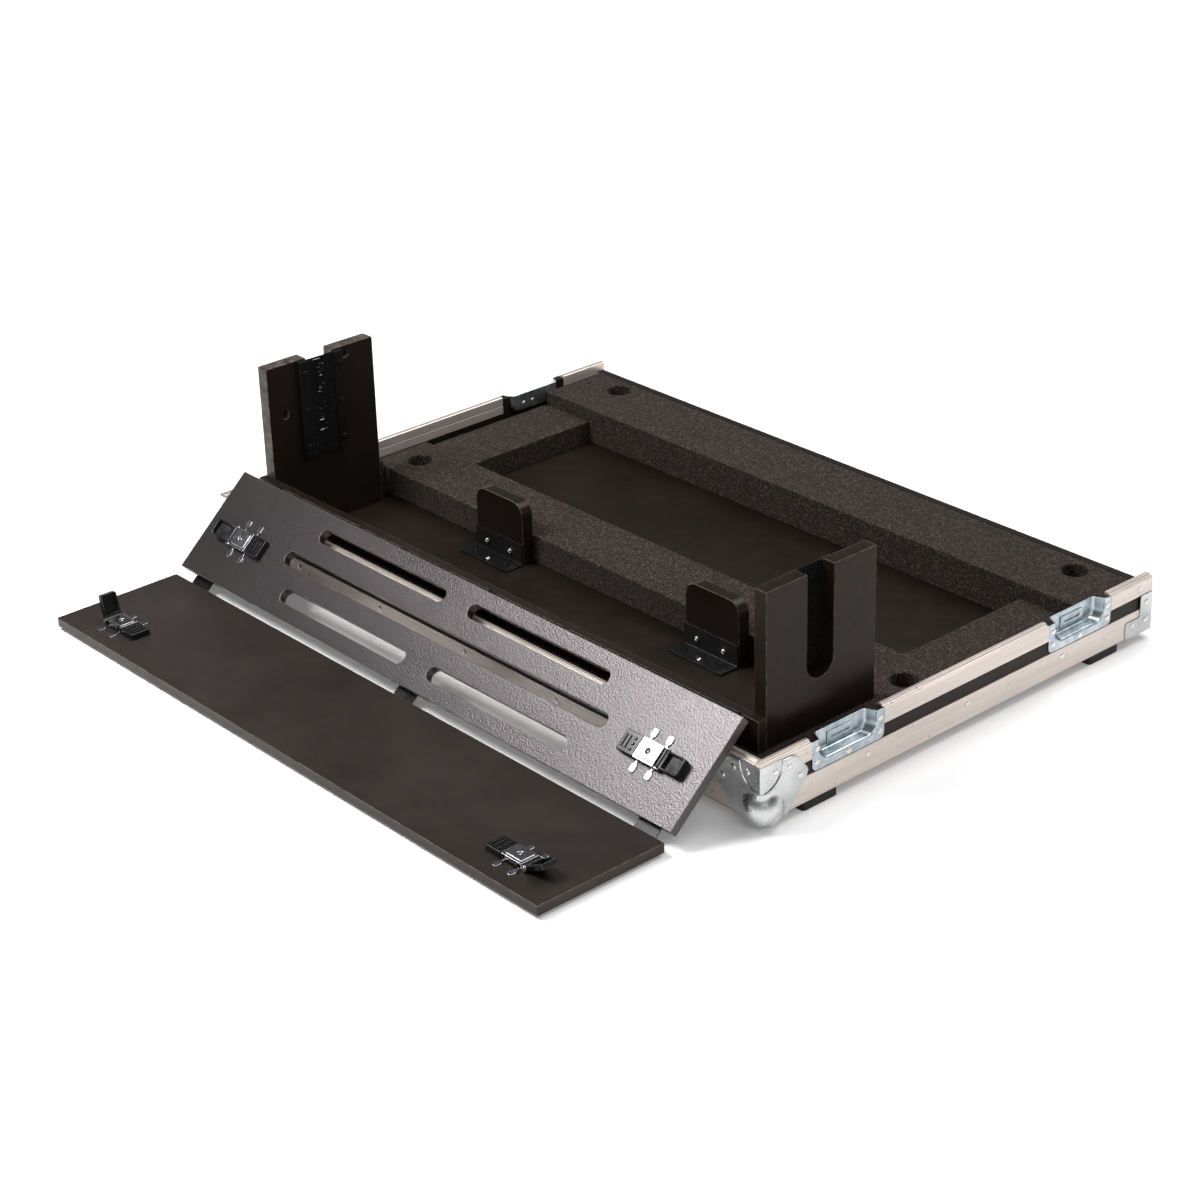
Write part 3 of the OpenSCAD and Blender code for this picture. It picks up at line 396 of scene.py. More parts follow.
def piece(name, shapes, material, slot, *nodes, body="tray"):
    """One object of several shapes, shaded smooth with its flats kept flat, on its body and in
    place of its CAD nodes. Its points carry their edge wear."""
    points, faces, wear, start = [], [], [], 0
    for shape_points, shape_faces, shape_wear in shapes:
        points.append(shape_points)
        faces += [[q + start for q in face] for face in shape_faces]
        wear.append(shape_wear)
        start += len(shape_points)
    mesh = bpy.data.meshes.new(name)
    mesh.from_pydata(((np.concatenate(points) + [0, FRONT_Y, 0]) * MM).tolist(), [], faces)
    mesh.polygons.foreach_set("use_smooth", np.ones(len(mesh.polygons), bool))
    mesh.attributes.new("wear", "FLOAT", "POINT").data.foreach_set("value", np.concatenate(wear))
    mesh.materials.append(material)
    made = shown(name, mesh)
    made.modifiers.new("flats", "WEIGHTED_NORMAL").weight = 100
    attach(made, body)
    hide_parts(*nodes)
    return made


def drawn_metal(name, colour, along, roughness=0.34):
    """Drawn aluminium: die lines along one axis in colour and height, with a few handling
    marks across them in the gloss."""
    material, tree, _ = finish(name, colour, roughness, metallic=0.68)
    stretch = tuple(0.012 if k == along else 1 for k in range(3))
    lines = noise(tree, 420, stretch, detail=4, roughness=0.7)
    dark = tuple(0.80 * c for c in colour)
    vary(tree, "Base Color", lines, (0.34, dark), (0.66, colour))
    marks = noise(tree, 60, detail=8, roughness=0.7)
    vary(tree, "Roughness", marks, (0.35, roughness - 0.07), (0.68, roughness + 0.12))
    bump(tree, lines, depth=0.00003, strength=0.6)
    return material


def rails(name, material, outwards, *runs):
    """A piece of rail runs. Each is a section, given as in from the wall's outer face and up,
    drawn between two points of that face. outwards points out of the wall."""
    shapes, inwards = [], -np.array(outwards, float)
    for section, start, end in runs:
        start, end = np.array(start, float), np.array(end, float)
        if np.cross(inwards, Z) @ (end - start) < 0:
            start, end = end, start
        shapes.append(slab([section], np.linalg.norm(end - start), 0.25, start, (inwards, Z)))
    piece(f"{name}_drawn", shapes, material, "extruded_aluminium", name)


TOP_SECTION = softened(
    [(0, -20), (0, 0), (4.5, 0), (5.5, 2.2), (10.5, 2.2), (RAIL_IN, 1.2), (RAIL_IN, -9), (11.1, -10),
     (RAIL_IN, -11), (RAIL_IN, -22), (10.5, -22), (10.5, -RAIL_T), (RAIL_T, -RAIL_T), (RAIL_T, -20)],
    [0.5, 0.9, 0.8, 0.6, 0.6, 0.5, 0.3, 0.3, 0.3, 0.4, 0.4, 0.2, 0.2, 0.5])
BOTTOM_SECTION = softened(
    [(0, 0), (RAIL_UNDER, 0), (RAIL_UNDER, RAIL_T), (RAIL_T, RAIL_T), (RAIL_T, RAIL_UP), (0.4, RAIL_UP),
     (0, RAIL_UP - 0.8)], [1.2, 0.5, 0.5, 0.2, 0.4, 0.3, 0.3])
UPRIGHT_SECTION = rectangle(0, RAIL_T, 0, RAIL_UP, [0.5, 0.3, 0.4, 0.6])
UNDER_SECTION = rectangle(0, RAIL_UNDER, 0, RAIL_T, [0.5, 0.5, 0.5, 0.3])
DISH_Y = [CASE_D / 2 - 194.75, CASE_D / 2 + 194.75]
DISH_CUT, RAIL_STOP = 56.3, 12.5
ALUMINIUM = (0.70, 0.62, 0.565)
metal_x = drawn_metal("aluminium_along_x", ALUMINIUM, 0)
metal_y = drawn_metal("aluminium_along_y", ALUMINIUM, 1)
for sign, side in SIDES:
    x, out = sign * HALF_W, (sign, 0, 0)
    ends = [(0, DISH_Y[0] - DISH_CUT), (DISH_Y[0] + DISH_CUT, DISH_Y[1] - DISH_CUT),
            (DISH_Y[1] + DISH_CUT, CASE_D)]
    rails(f"top_rail_{side}", metal_y, out,
          *((TOP_SECTION, (x, a, LEDGE_Z), (x, b, LEDGE_Z)) for a, b in ends))
    rails(f"bottom_rail_{side}", metal_y, out,
          (BOTTOM_SECTION, (x, RAIL_STOP, FOOT_H), (x, CASE_D - RAIL_T, FOOT_H)),
          (UPRIGHT_SECTION, (x, CASE_D - RAIL_T, FOOT_H), (x, CASE_D, FOOT_H)))
rails("top_rail_front", metal_x, (0, -1, 0), (TOP_SECTION, (-CLEAR_X, 0, LEDGE_Z), (CLEAR_X, 0, LEDGE_Z)))
for side, y, out, reach in (("front", 0.0, -1, HALF_W - RAIL_STOP), ("rear", CASE_D, 1, HALF_W - RAIL_T)):
    under = HALF_W - RAIL_UNDER
    rails(f"bottom_rail_{side}", metal_x, (0, out, 0),
          (UPRIGHT_SECTION, (-reach, y, FOOT_H), (reach, y, FOOT_H)),
          (UNDER_SECTION, (-under, y, FOOT_H), (under, y, FOOT_H)))


# Rivets: domed steel rivets with four dents from the setting tool, put in from outside
# through the rails, the dishes and the corners, and closed over the boards inside.
RIVET_D, RIVET_H, CORNER_T = 8.0, 1.4, 1.5
RIVET_PITCH, RIVET_ROW_Z, TOP_ROW_Z = 164.0, 33.5, 71.5
DOME_SHARES = [(0, 0), (1, 0), (1, 0.2), (0.93, 0.5), (0.78, 0.8), (0.62, 0.95), (0.45, 1), (0.28, 1),
               (0.12, 0.96), (0, 0.95)]
DENT_SHARE, DENT_AT_SHARE, DENT_SPREAD_SHARE = 0.4, 0.4, 0.16
DISH_Z = 45.0
FRONT_CORNER_RIVETS = [(20, 69), (41, 67), (58, 51)]
REAR_CORNER_RIVETS = [(11, 51), (11, 28), (37, 28)]
DISH_RIVETS = [(-49, 26.5), (-49, 10), (0, 5), (49, 10), (49, 26.5)]
KEEPER_RIVETS = [-22, -6]


def facing(shape, place, out):
    """A turned shape set down at place with its axis along out, which is a main direction."""
    across = Z if abs(out[2]) < 0.9 else X
    return placed(shape, place, across, np.cross(out, across))


def rivet_head(place, out, size=RIVET_D, height=RIVET_H):
    """A dome with four dents round its top, deepest where cos 4a is 1 and at a share of the
    radius, where a bell curve has its middle."""
    r = size / 2
    points, faces, wear = lathe(np.array(DOME_SHARES) * (r, height), 24)
    far = np.hypot(points[:, 0], points[:, 1]) / r
    four = np.maximum(np.cos(4 * np.arctan2(points[:, 1], points[:, 0])), 0)
    bell = np.exp(-((far - DENT_AT_SHARE) / DENT_SPREAD_SHARE) ** 2)
    points[:, 2] -= DENT_SHARE * height * four * bell * (points[:, 2] > 0.6 * height)
    return facing((points, faces, wear), place, out)


def bright_steel(name, light, dark, roughness, scale=220, spread=(0.3, 0.7)):
    """Plated steel: cloudy patches from dark to light in colour, fine wandering scratches in the
    gloss, and a faint ripple from pressing."""
    material, tree, _ = finish(name, light, roughness, metallic=1.0)
    patches = noise(tree, scale, detail=5, roughness=0.65)
    vary(tree, "Base Color", patches, (spread[0], dark), (spread[1], light))
    scratches = noise(tree, 900, (0.15, 1, 1))
    vary(tree, "Roughness", scratches, (0.3, roughness - 0.06), (0.7, roughness + 0.1))
    bump(tree, patches, depth=0.00006, strength=0.5)
    return material


rivet_metal = bright_steel("rivet_metal", (0.80, 0.77, 0.74), (0.55, 0.52, 0.50), 0.20)
heads = []
for sign in (-1, 1):
    out = (sign, 0, 0)
    heads += [rivet_head((sign * HALF_W, CASE_D / 2 + k * RIVET_PITCH, RIVET_ROW_Z), out) for k in (-1, 0, 1)]
    heads.append(rivet_head((sign * HALF_W, CASE_D - 24, TOP_ROW_Z), out))
for k in range(-2, 3):
    heads.append(rivet_head((k * RIVET_PITCH, 0, RIVET_ROW_Z), (0, -1, 0)))
    heads.append(rivet_head((k * RIVET_PITCH, CASE_D, RIVET_ROW_Z), (0, 1, 0)))
heads += [rivet_head((k * RIVET_PITCH, 0, TOP_ROW_Z), (0, -1, 0)) for k in (-2, 0, 2)]
piece("rail_rivet_heads", heads, rivet_metal, "rivet_steel", "rail_rivets")
heads = []
for sign in (-1, 1):
    for end, way, spots in ((0, 1, FRONT_CORNER_RIVETS), (CASE_D, -1, REAR_CORNER_RIVETS)):
        for u, z in spots:
            heads.append(rivet_head((sign * (HALF_W + CORNER_T), end + way * u, z), (sign, 0, 0)))
            heads.append(rivet_head((sign * (HALF_W - u), end - way * CORNER_T, z), (0, -way, 0)))
piece("corner_rivet_heads", heads, rivet_metal, "rivet_steel", "corner_rivets")
heads = [rivet_head((sign * HALF_W, y + dy, DISH_Z + up), (sign, 0, 0))
         for sign in (-1, 1) for y in DISH_Y for dy, up in DISH_RIVETS]
heads += [rivet_head((sign * (HALF_W - 15.8), DISH_Y[1] + dy, 67), (-sign, 0, 0), 6, 1.2)
          for sign in (-1, 1) for dy in KEEPER_RIVETS]
piece("dish_rivet_heads", heads, rivet_metal, "rivet_steel", "dish_rivets")


# Ball corners: one steel sheet a corner, pressed into two wings that lie on the front and the
# side, with a ball over the tray's lower corner. Bright zinc, riveted over the rails.
BALL_IN, BALL_Z, BALL_R, BALL_BLEND = 14.0, 24.0, 23.6, 3.5
WING_CUT_R, WING_CUT_Z, WING_FOOT, LOBE_R = 30.9, 79.0, 38.0, 13.0
LOBES = [(43.0, 66.0), (55.0, 51.5)]
WING_REACH, EDGE_R, LIP_FADE = 67.9, 9.0, 1.5
TUCK_TO, TUCK_SHARE, TUCK_ROWS, TUCK_FADE = 30.0, 0.85, 13, 4.0
PLATE_REACH, PLATE_CUT_R, PLATE_EDGE_R = 29.3, 29.4, 2.4
SHEET_T, DISH_EDGE, PLATE_EDGE, CORNER_EDGE = 1.3, 0.4, 0.35, 0.5


def rise(radius, x):
    """How high a circle stands over its middle at x from it, and 0 beyond its radius."""
    return np.sqrt(np.maximum(radius ** 2 - x ** 2, 0))


def wing_limits(u):
    """Lowest and highest point of a wing at distances u from the corner's edge. Above, it is
    the cut circle, then the flat top, then the outline round the two lobes. Below, it is the
    base, then the line from the foot that touches the outer lobe, then the lobe."""
    (ax, az), (bx, bz) = LOBES
    slope = np.arctan2(az - bz, bx - ax)
    high = np.where(u < WING_CUT_R, WING_CUT_Z - rise(WING_CUT_R, u), az + LOBE_R)
    turn_a, turn_b = ax + LOBE_R * np.sin(slope), bx + LOBE_R * np.sin(slope)
    high = np.where(u > ax, az + rise(LOBE_R, u - ax), high)
    line = az + LOBE_R * np.cos(slope) - (u - turn_a) * np.tan(slope)
    high = np.where(u > turn_a, line, high)
    high = np.where(u > turn_b, bz + rise(LOBE_R, u - bx), high)
    reach = np.hypot(bx - WING_FOOT, bz - FOOT_H)
    lean = np.arctan2(bz - FOOT_H, bx - WING_FOOT) - np.arcsin(LOBE_R / reach)
    touch_x = WING_FOOT + np.sqrt(reach ** 2 - LOBE_R ** 2) * np.cos(lean)
    low = np.where(u > WING_FOOT, FOOT_H + (u - WING_FOOT) * np.tan(lean), FOOT_H)
    low = np.where(u > touch_x, bz - rise(LOBE_R, u - bx), low)
    return low, np.maximum(high, low + 0.01)


def plate_limits(u):
    """An upper corner plate runs from its disc's edge up to the ledge."""
    return WING_CUT_Z - rise(PLATE_CUT_R, u), LEDGE_Z + 0 * u


def sheet_shape(grid, sign):
    """A grid of points on the right side, or mirrored to the left, as one shape."""
    faces, points = grid_faces(*grid.shape[:2], False), grid.reshape(-1, 3)
    return points, (faces if sign > 0 else faces[:, ::-1]).tolist(), np.zeros(len(points))


def corner_sheet(sign, limits, ends, radius, columns, rows, rim=0.0, ball=False):
    """A sheet bent round a vertical corner. Along it runs u, the distance from the case's edge,
    with the front wing before 0 and the side wing after it. Up it runs z from the lower to the
    upper limit, where the sheet rises by rim in a bell curve. Near the edge the plan is an arc
    of that radius, 45 degrees a side. The ball adds rows under the base, and pushes each point
    out to the smooth maximum of its own distance from the ball's centre and the ball's radius."""
    u = ends * np.linspace(-1, 1, columns)
    low, high = limits(np.abs(u))
    z = low + (high - low) * np.linspace(0, 1, rows)[:, None]
    bend = radius - CORNER_T
    a = (1 - np.clip(np.abs(u) / bend, 0, 1)) * np.pi / 4
    lip = rim * np.exp(-((high - z) / LIP_FADE) ** 2)
    along = np.where(np.abs(u) < bend, bend - (radius + lip) * np.sin(a), np.abs(u))
    inset = bend - (radius + lip) * np.cos(a)
    x, y = np.where(u < 0, along, inset), np.where(u < 0, inset, along)
    grid = np.stack([x, y, z], -1)
    if ball:
        inner = np.clip((WING_FOOT - np.abs(u)) / TUCK_FADE, 0, 1)[:, None]
        tuck = np.linspace(TUCK_SHARE, 0, TUCK_ROWS + 1)[:-1, None, None] * inner
        under = grid[:1] + (np.array([TUCK_TO, TUCK_TO, FOOT_H]) - grid[:1]) * tuck
        grid = np.concatenate([under, grid])
        centre = np.array([BALL_IN, BALL_IN, BALL_Z])
        ray = grid - centre
        far = np.linalg.norm(ray, axis=-1, keepdims=True)
        blend = np.sqrt((far - BALL_R) ** 2 + BALL_BLEND ** 2)
        grid = centre + ray / far * (far + BALL_R + blend) / 2
    x, y, z = np.moveaxis(grid, -1, 0)
    return sheet_shape(np.stack([sign * (HALF_W - x), y, z], -1), sign)


def pressed(name, sheets, material, slot, edge):
    """A piece of sheets with their points joined, their thickness behind their face and their
    cut edge softened."""
    made = piece(f"{name}_pressed", sheets, material, slot, name)
    made.modifiers.new("joined", "WELD").merge_threshold = 0.01 * MM
    wall = made.modifiers.new("wall", "SOLIDIFY")
    wall.thickness = SHEET_T * MM
    wall.offset = -1
    soft = made.modifiers.new("edge", "BEVEL")
    soft.width = edge * MM
    soft.segments = 2
    soft.limit_method = "ANGLE"
    soft.angle_limit = np.radians(50)
    made.modifiers.move(0, 3)


corner_zinc = bright_steel("corner_zinc", (0.58, 0.585, 0.585), (0.42, 0.43, 0.435), 0.27, 22,
                           (0.32, 0.62))
for sign, side in SIDES:
    sheet = corner_sheet(sign, wing_limits, WING_REACH, EDGE_R, 201, 60, rim=0.8, ball=True)
    pressed(f"ball_corner_{side}", [sheet], corner_zinc, "corner_steel", CORNER_EDGE)
sheets = [corner_sheet(sign, plate_limits, PLATE_REACH, PLATE_EDGE_R, 81, 14) for sign in (-1, 1)]
pressed("upper_corner_plates", sheets, corner_zinc, "corner_steel", PLATE_EDGE)
bracket = softened([(0, 12), (48, 12), (48, 34), (22, 34), (22, 62), (0, 62)], [0.6, 4, 4, 3, 4, 0.6])
shapes = []
for sign in (-1, 1):
    corner = (sign * HALF_W, CASE_D, 0)
    shapes.append(slab([bracket * [-sign, 1]], CORNER_T, 0.5, corner, ((0, sign, 0), Z)))
    shapes.append(slab([bracket * [sign, 1]], CORNER_T, 0.5, corner, ((-1, 0, 0), Z)))
piece("rear_corner_brackets_pressed", shapes, corner_zinc, "corner_steel", "rear_corner_brackets")


# Latch dishes: pressed steel dishes let into the side walls, open at the top for a cover's
# latch. Each has a keeper plate with a slot on its floor. Zinc, riveted through flanges.
DISH_TOP, DISH_FLOOR_HALF, DISH_DEPTH = 36.5, 35.4, 14.5
DISH_RINGS = [(56, 0, 7, 0), (47.5, 8, 14, 0), (46, 9.2, 14, 0.25), (45, 10, 13.5, 1), (44.3, 10.6, 13, 2.2),
              (40.2, 11.6, 12, 11.5), (39.2, 12.4, 11, 13.2), (37.8, 13.6, 10, 14.2),
              (35.5, 15.6, 9, DISH_DEPTH)]
KEEPER_T, KEEPER_Z, KEEPER_IN = 1.4, 58.0, 14.4


def dish_sheet(sign, y):
    """A grid of rings. Each ring is a U with half width a, foot b and corner radius r, at a
    depth, from the flange's rim over the rounded brow and down to the floor. The last ring lies
    along the top edge, so that the floor is filled."""
    corner = np.linspace(0, np.pi / 2, 9)
    rows = []
    for a, b, r, depth in DISH_RINGS:
        down = np.linspace(DISH_TOP, b + r, 6)[:-1]
        left = np.concatenate([np.stack([np.full(5, -a), down], 1),
                               np.stack([-a + r - r * np.cos(corner), b + r - r * np.sin(corner)], 1)])
        row = np.concatenate([left, [[0, b]], left[::-1] * [-1, 1]])
        rows.append(np.column_stack([row, np.full(len(row), depth)]))
    t = np.linspace(-1, 1, len(rows[0]))
    rows.append(np.stack([DISH_FLOOR_HALF * t, 0 * t + DISH_TOP, 0 * t + DISH_DEPTH], 1))
    along, up, depth = np.moveaxis(np.array(rows), -1, 0)
    return sheet_shape(np.stack([sign * (HALF_W - depth), y + along, DISH_Z + up], -1), sign)


dish_zinc = bright_steel("dish_zinc", (0.52, 0.57, 0.60), (0.26, 0.33, 0.38), 0.30, 75, (0.32, 0.62))
for sign, side in SIDES:
    sheets = [dish_sheet(sign, y) for y in DISH_Y]
    pressed(f"latch_dishes_{side}", sheets, dish_zinc, "zinc_steel", DISH_EDGE)
keeper = [rectangle(-20, 20, 0, 17, 2), rectangle(-14, 14, 8.5, 11.5, 1.2)]
piece("dish_keeper_plates",
      [slab(keeper, KEEPER_T, 0.4, (sign * (HALF_W - KEEPER_IN), y, KEEPER_Z), ((0, sign, 0), Z))
       for sign in (-1, 1) for y in DISH_Y], dish_zinc, "zinc_steel", "dish_keepers")


# Feet: moulded black plastic blocks screwed under the tray, two near the front and two near
# the rear, just inside the side walls' rails.
FOOT_HALF_W, FOOT_HALF_D, FOOT_Y = 24.0, 27.0, (92.0, CASE_D - 83)


def moulded(name, colour, roughness, grain=1600, depth=0.00003, specular=0.5):
    """Moulded plastic: a faint flow cloud, fine grain and greasy handling marks in the gloss."""
    material, tree, _ = finish(name, colour, roughness, specular=specular)
    light = tuple(1.4 * c + 0.001 for c in colour)
    vary(tree, "Base Color", noise(tree, 30, detail=4), (0.35, colour), (0.75, light))
    marks = noise(tree, 120, detail=5)
    vary(tree, "Roughness", marks, (0.35, roughness), (0.7, roughness + 0.12))
    bump(tree, noise(tree, grain, detail=2), depth)
    return material


foot_plastic = moulded("foot_plastic", (0.009, 0.0065, 0.0055), 0.5, specular=0.25)
foot = rectangle(-FOOT_HALF_W, FOOT_HALF_W, -FOOT_HALF_D, FOOT_HALF_D, 5)
piece("moulded_feet",
      [slab([foot], FOOT_H, 1.2, (sign * (HALF_W - RAIL_T - FOOT_HALF_W), y, 0), steps=3)
       for sign in (-1, 1) for y in FOOT_Y], foot_plastic, "foot_plastic", "feet")


# Foam: charcoal closed-cell foam, cut to bars and strips with a hot knife and glued to the
# boards. Two bars carry finger holes. Cut faces are matt and speckled with cells.
FOAM_X, DISH_X, BAY_X = CLEAR_X - 0.5, 479.4, 388.0
FRONT_BAR, REAR_BAR = (235.5, 328.5), (542.0, 645.0)
SIDE_BAR = (FRONT_BAR[1] + 0.5, REAR_BAR[0] - 0.5)
FRONT_BAR_H, REAR_BAR_H, SIDE_BAR_H, LINING_H = 37.0, 49.5, 31.0, 46.5
LINING_X, LINING_Y = 455.0, (12.0, 34.5, 235.0)
HOLE_R = 17.0
FRONT_HOLES, REAR_HOLES = [(-439, 282), (439, 282)], [(-409, 617), (409, 617)]


def foam_look(name, dark, light, speck):
    """Foam: a fine speckle of cells in colour and height, and a slow drift of shade."""
    material, tree, inputs = finish(name, dark, 0.95, specular=0.12)
    cells = noise(tree, 380, detail=3, roughness=0.75)
    drift = noise(tree, 14, detail=4)
    bright = tuple(speck * c for c in light)
    colour = ramp(tree, cells, (0.38, dark), (0.54, light), (0.64, bright))
    shade = ramp(tree, drift, (0.25, 0.82), (0.75, 1.0))
    tree.links.new(mixed(tree, colour, shade, blend="MULTIPLY"), inputs["Base Color"])
    inputs["Sheen Weight"].default_value = 0.07
    inputs["Sheen Roughness"].default_value = 0.5
    bump(tree, cells, depth=0.0004, strength=0.8)
    return material


def foam_block(x0, x1, y0, y1, height, holes=()):
    """A block on the floor board with slack rounded edges and its finger holes cut through."""
    outlines = [rectangle(x0, x1, y0, y1, 2.5, 4)] + [ring(hole, HOLE_R, 40) for hole in holes]
    return slab(outlines, height, 1.6, (0, 0, FLOOR_Z), steps=3)


foam_skin = foam_look("foam_skin", (0.0056, 0.0037, 0.0029), (0.0175, 0.0122, 0.0098), speck=4.4)
bars = {
    "foam_front_bar": [foam_block(-FOAM_X, FOAM_X, *FRONT_BAR, FRONT_BAR_H, FRONT_HOLES)],
    "foam_rear_bar": [foam_block(-DISH_X, DISH_X, *REAR_BAR, REAR_BAR_H, REAR_HOLES)],
    "foam_left_bar": [foam_block(-DISH_X, -BAY_X, *SIDE_BAR, SIDE_BAR_H)],
    "foam_right_bar": [foam_block(BAY_X, DISH_X, *SIDE_BAR, SIDE_BAR_H)],
    "foam_linings": [foam_block(-LINING_X, LINING_X, *LINING_Y[:2], LINING_H),
                     foam_block(LINING_X + 0.5, DISH_X, LINING_Y[0], LINING_Y[2], LINING_H),
                     foam_block(-DISH_X, -LINING_X - 0.5, LINING_Y[0], LINING_Y[2], LINING_H)],
}
for name, shapes in bars.items():
    piece(f"{name}_cut", shapes, foam_skin, "foam", name)


# Plank, end boards and stops: film-faced plywood sawn to shape. Their edges are painted black
# and rubbed pale where cables and hands pass. The end boards' slots take the cable bundles.
RUBBED = (0.16, 0.135, 0.12)
FLAP_X, FLAP_T, PLANK_Y, PLANK_TOP = 455.0, 12.0, 35.0, 107.0
END_X, END_T, END_TOP, END_Y = 437.0, 18.0, 256.0, (47.0, 215.0)
SLOT_Y, SLOT_R, SLOT_Z = 129.0, 20.5, 146.5
POCKET_DEPTH, POCKET_R, POCKET_REACH, POCKETS = 6.0, 4.5, 2.5, ((72, 188.8), (169, 244))
END_EDGE, LEFT_WALL_WEAR = 0.7, 0.42
STOP_X, STOP_Y, STOP_W, STOP_H, STOP_T = 194.0, 235.0, 90.0, 84.0, 17.0


def sawn_board(name, dark, light, roughness, rub, **more):
    """The film's finish, with the wear attribute and noise together lightening rounded edges."""
    material = film(name, dark, light, roughness, **more)
    tree = material.node_tree
    colour = tree.nodes["Principled BSDF"].inputs["Base Color"]
    worn = node(tree, "Attribute", attribute_name="wear")
    patches = ramp(tree, noise(tree, 90, detail=6, roughness=0.7), (0.38, 0.1), (0.6, 1.0))
    factor = combined(tree, "MULTIPLY", worn.outputs["Fac"], patches)
    tree.links.new(mixed(tree, colour.links[0].from_socket, (*rub, 1), factor), colour)
    return material


def round_ended(a, b, radius, steps):
    """A slot with a half circle round each of two centres."""
    way = np.degrees(np.arctan2(b[1] - a[1], b[0] - a[0]))
    halves = (b, way - 90, way + 90), (a, way + 90, way + 270)
    return np.concatenate([arc(centre, radius, *turn, steps) for centre, *turn in halves])


sawn_film = sawn_board("sawn_film", BOARD_DARK, BOARD_LIGHT, 0.36, RUBBED, specular=0.18)
warm_film = sawn_board("warm_film", (0.0072, 0.0047, 0.0036), (0.0116, 0.0077, 0.0060), 0.30, RUBBED,
                       specular=0.15)
plank = rectangle(-FLAP_X, FLAP_X, FLOOR_Z, PLANK_TOP, 1)
piece("plank_sawn", [slab([plank], FLAP_T, 0.6, (0, PLANK_Y + FLAP_T, 0), UPRIGHT)], sawn_film,
      "laminated_board", "hinge_plank")
slot_rear, slot_front, slot_foot = SLOT_Y + SLOT_R, SLOT_Y - SLOT_R, SLOT_Z + 5
end_outline = np.concatenate([
    softened([(END_Y[0], FLOOR_Z), (END_Y[1], FLOOR_Z), (END_Y[1], END_TOP), (slot_rear, END_TOP),
              (slot_rear, slot_foot)], [0, 0.6, 2.5, 2.0, 0]),
    arc((SLOT_Y, SLOT_Z), SLOT_R, 0, -180, 24),
    softened([(slot_front, slot_foot), (slot_front, END_TOP), (END_Y[0], END_TOP), (END_Y[0], FLOOR_Z + 9)],
             [0, 2.0, 2.5, 0])])
(ay, az), (by, bz) = POCKETS
pockets = [round_ended((ay, az - POCKET_REACH), (ay, az + POCKET_REACH), POCKET_R, 10),
           round_ended((by - POCKET_REACH, bz), (by + POCKET_REACH, bz), POCKET_R, 10)]
for sign, side, skin, slot, wall_wear in ((-1, "left", sawn_film, "laminated_board", LEFT_WALL_WEAR),
                                          (1, "right", warm_film, "warm_board", 0.0)):
    inner = plate([end_outline] + pockets, POCKET_DEPTH, (END_EDGE, 0.0), side=wall_wear)
    outer = plate([end_outline], END_T - POCKET_DEPTH, (0.0, END_EDGE), side=wall_wear)
    shapes = [placed(inner, (END_X, 0, 0), *SIDEWAYS),
              placed(outer, (END_X + POCKET_DEPTH, 0, 0), *SIDEWAYS)]
    if sign < 0:
        shapes = [(points * [-1, 1, 1], [face[::-1] for face in faces], wear)
                  for points, faces, wear in shapes]
    piece(f"{side}_end_board_sawn", shapes, skin, slot, f"{side}_end_board")
stop = rectangle(-STOP_W / 2, STOP_W / 2, 0, STOP_H, [0.6, 0.6, 20, 20], 10)
for sign, side in SIDES:
    board = slab([stop], STOP_T, 0.8, (sign * STOP_X, STOP_Y, FLOOR_Z), UPRIGHT)
    piece(f"{side}_stop_sawn", [board], sawn_film, "laminated_board", f"{side}_stop_board")


# Brush strips: two black plastic holders a slot, screwed over its edges inside the case, with
# combs of black nylon that meet in the middle and part for the cables.
HOLDER_W, HOLDER_T, BRUSH_L, BRUSH_Z = 14.0, 6.0, 134.0, 120.0
STRAND_L, STRANDS, COMBS, COMB_PITCH = 23.6, 150, 6, 0.42
STRAND_HALF, STRAND_TAPER_SHARE, STRAND_ROOT = 0.34, 0.45, 2.0
STRAND_LEAN, STRAND_SWAY = 0.7, 0.35


def comb(x, y, toward, seed):
    """Strands in a row. Each is a square prism in four rings that thins towards its tip, with a
    bend that grows with the square of the way along it, and small random lengths and leans."""
    chance = np.random.default_rng(seed)
    z = BRUSH_Z + BRUSH_L * (np.arange(STRANDS) + 0.5 + chance.uniform(-0.3, 0.3, STRANDS)) / STRANDS
    length = STRAND_L * chance.uniform(0.93, 1.0, STRANDS)
    lean, sway = chance.normal(0, STRAND_LEAN, STRANDS), chance.normal(0, STRAND_SWAY, STRANDS)
    way = np.array([0, 0.4, 0.75, 1.0])[None, :, None]
    half = STRAND_HALF * (1 - STRAND_TAPER_SHARE * way)
    square = np.array([[-1, -1], [1, -1], [1, 1], [-1, 1]])
    px = x + sway[:, None, None] * way ** 2 + half * square[:, 0]
    pz = z[:, None, None] + lean[:, None, None] * way ** 2 + half * square[:, 1]
    pz = np.clip(pz, BRUSH_Z + 0.1, BRUSH_Z + BRUSH_L - 0.1)
    py = y + toward * (length[:, None, None] * way - STRAND_ROOT) + 0 * px
    points = np.stack([px, py, pz], -1).reshape(-1, 3)
    one = np.concatenate([grid_faces(4, 4, True), [[3, 2, 1, 0], [12, 13, 14, 15]]])
    if toward > 0:
        one = one[:, ::-1]
    faces = (one[None] + 16 * np.arange(STRANDS)[:, None, None]).reshape(-1, 4)
    return points, faces.tolist(), np.zeros(len(points))


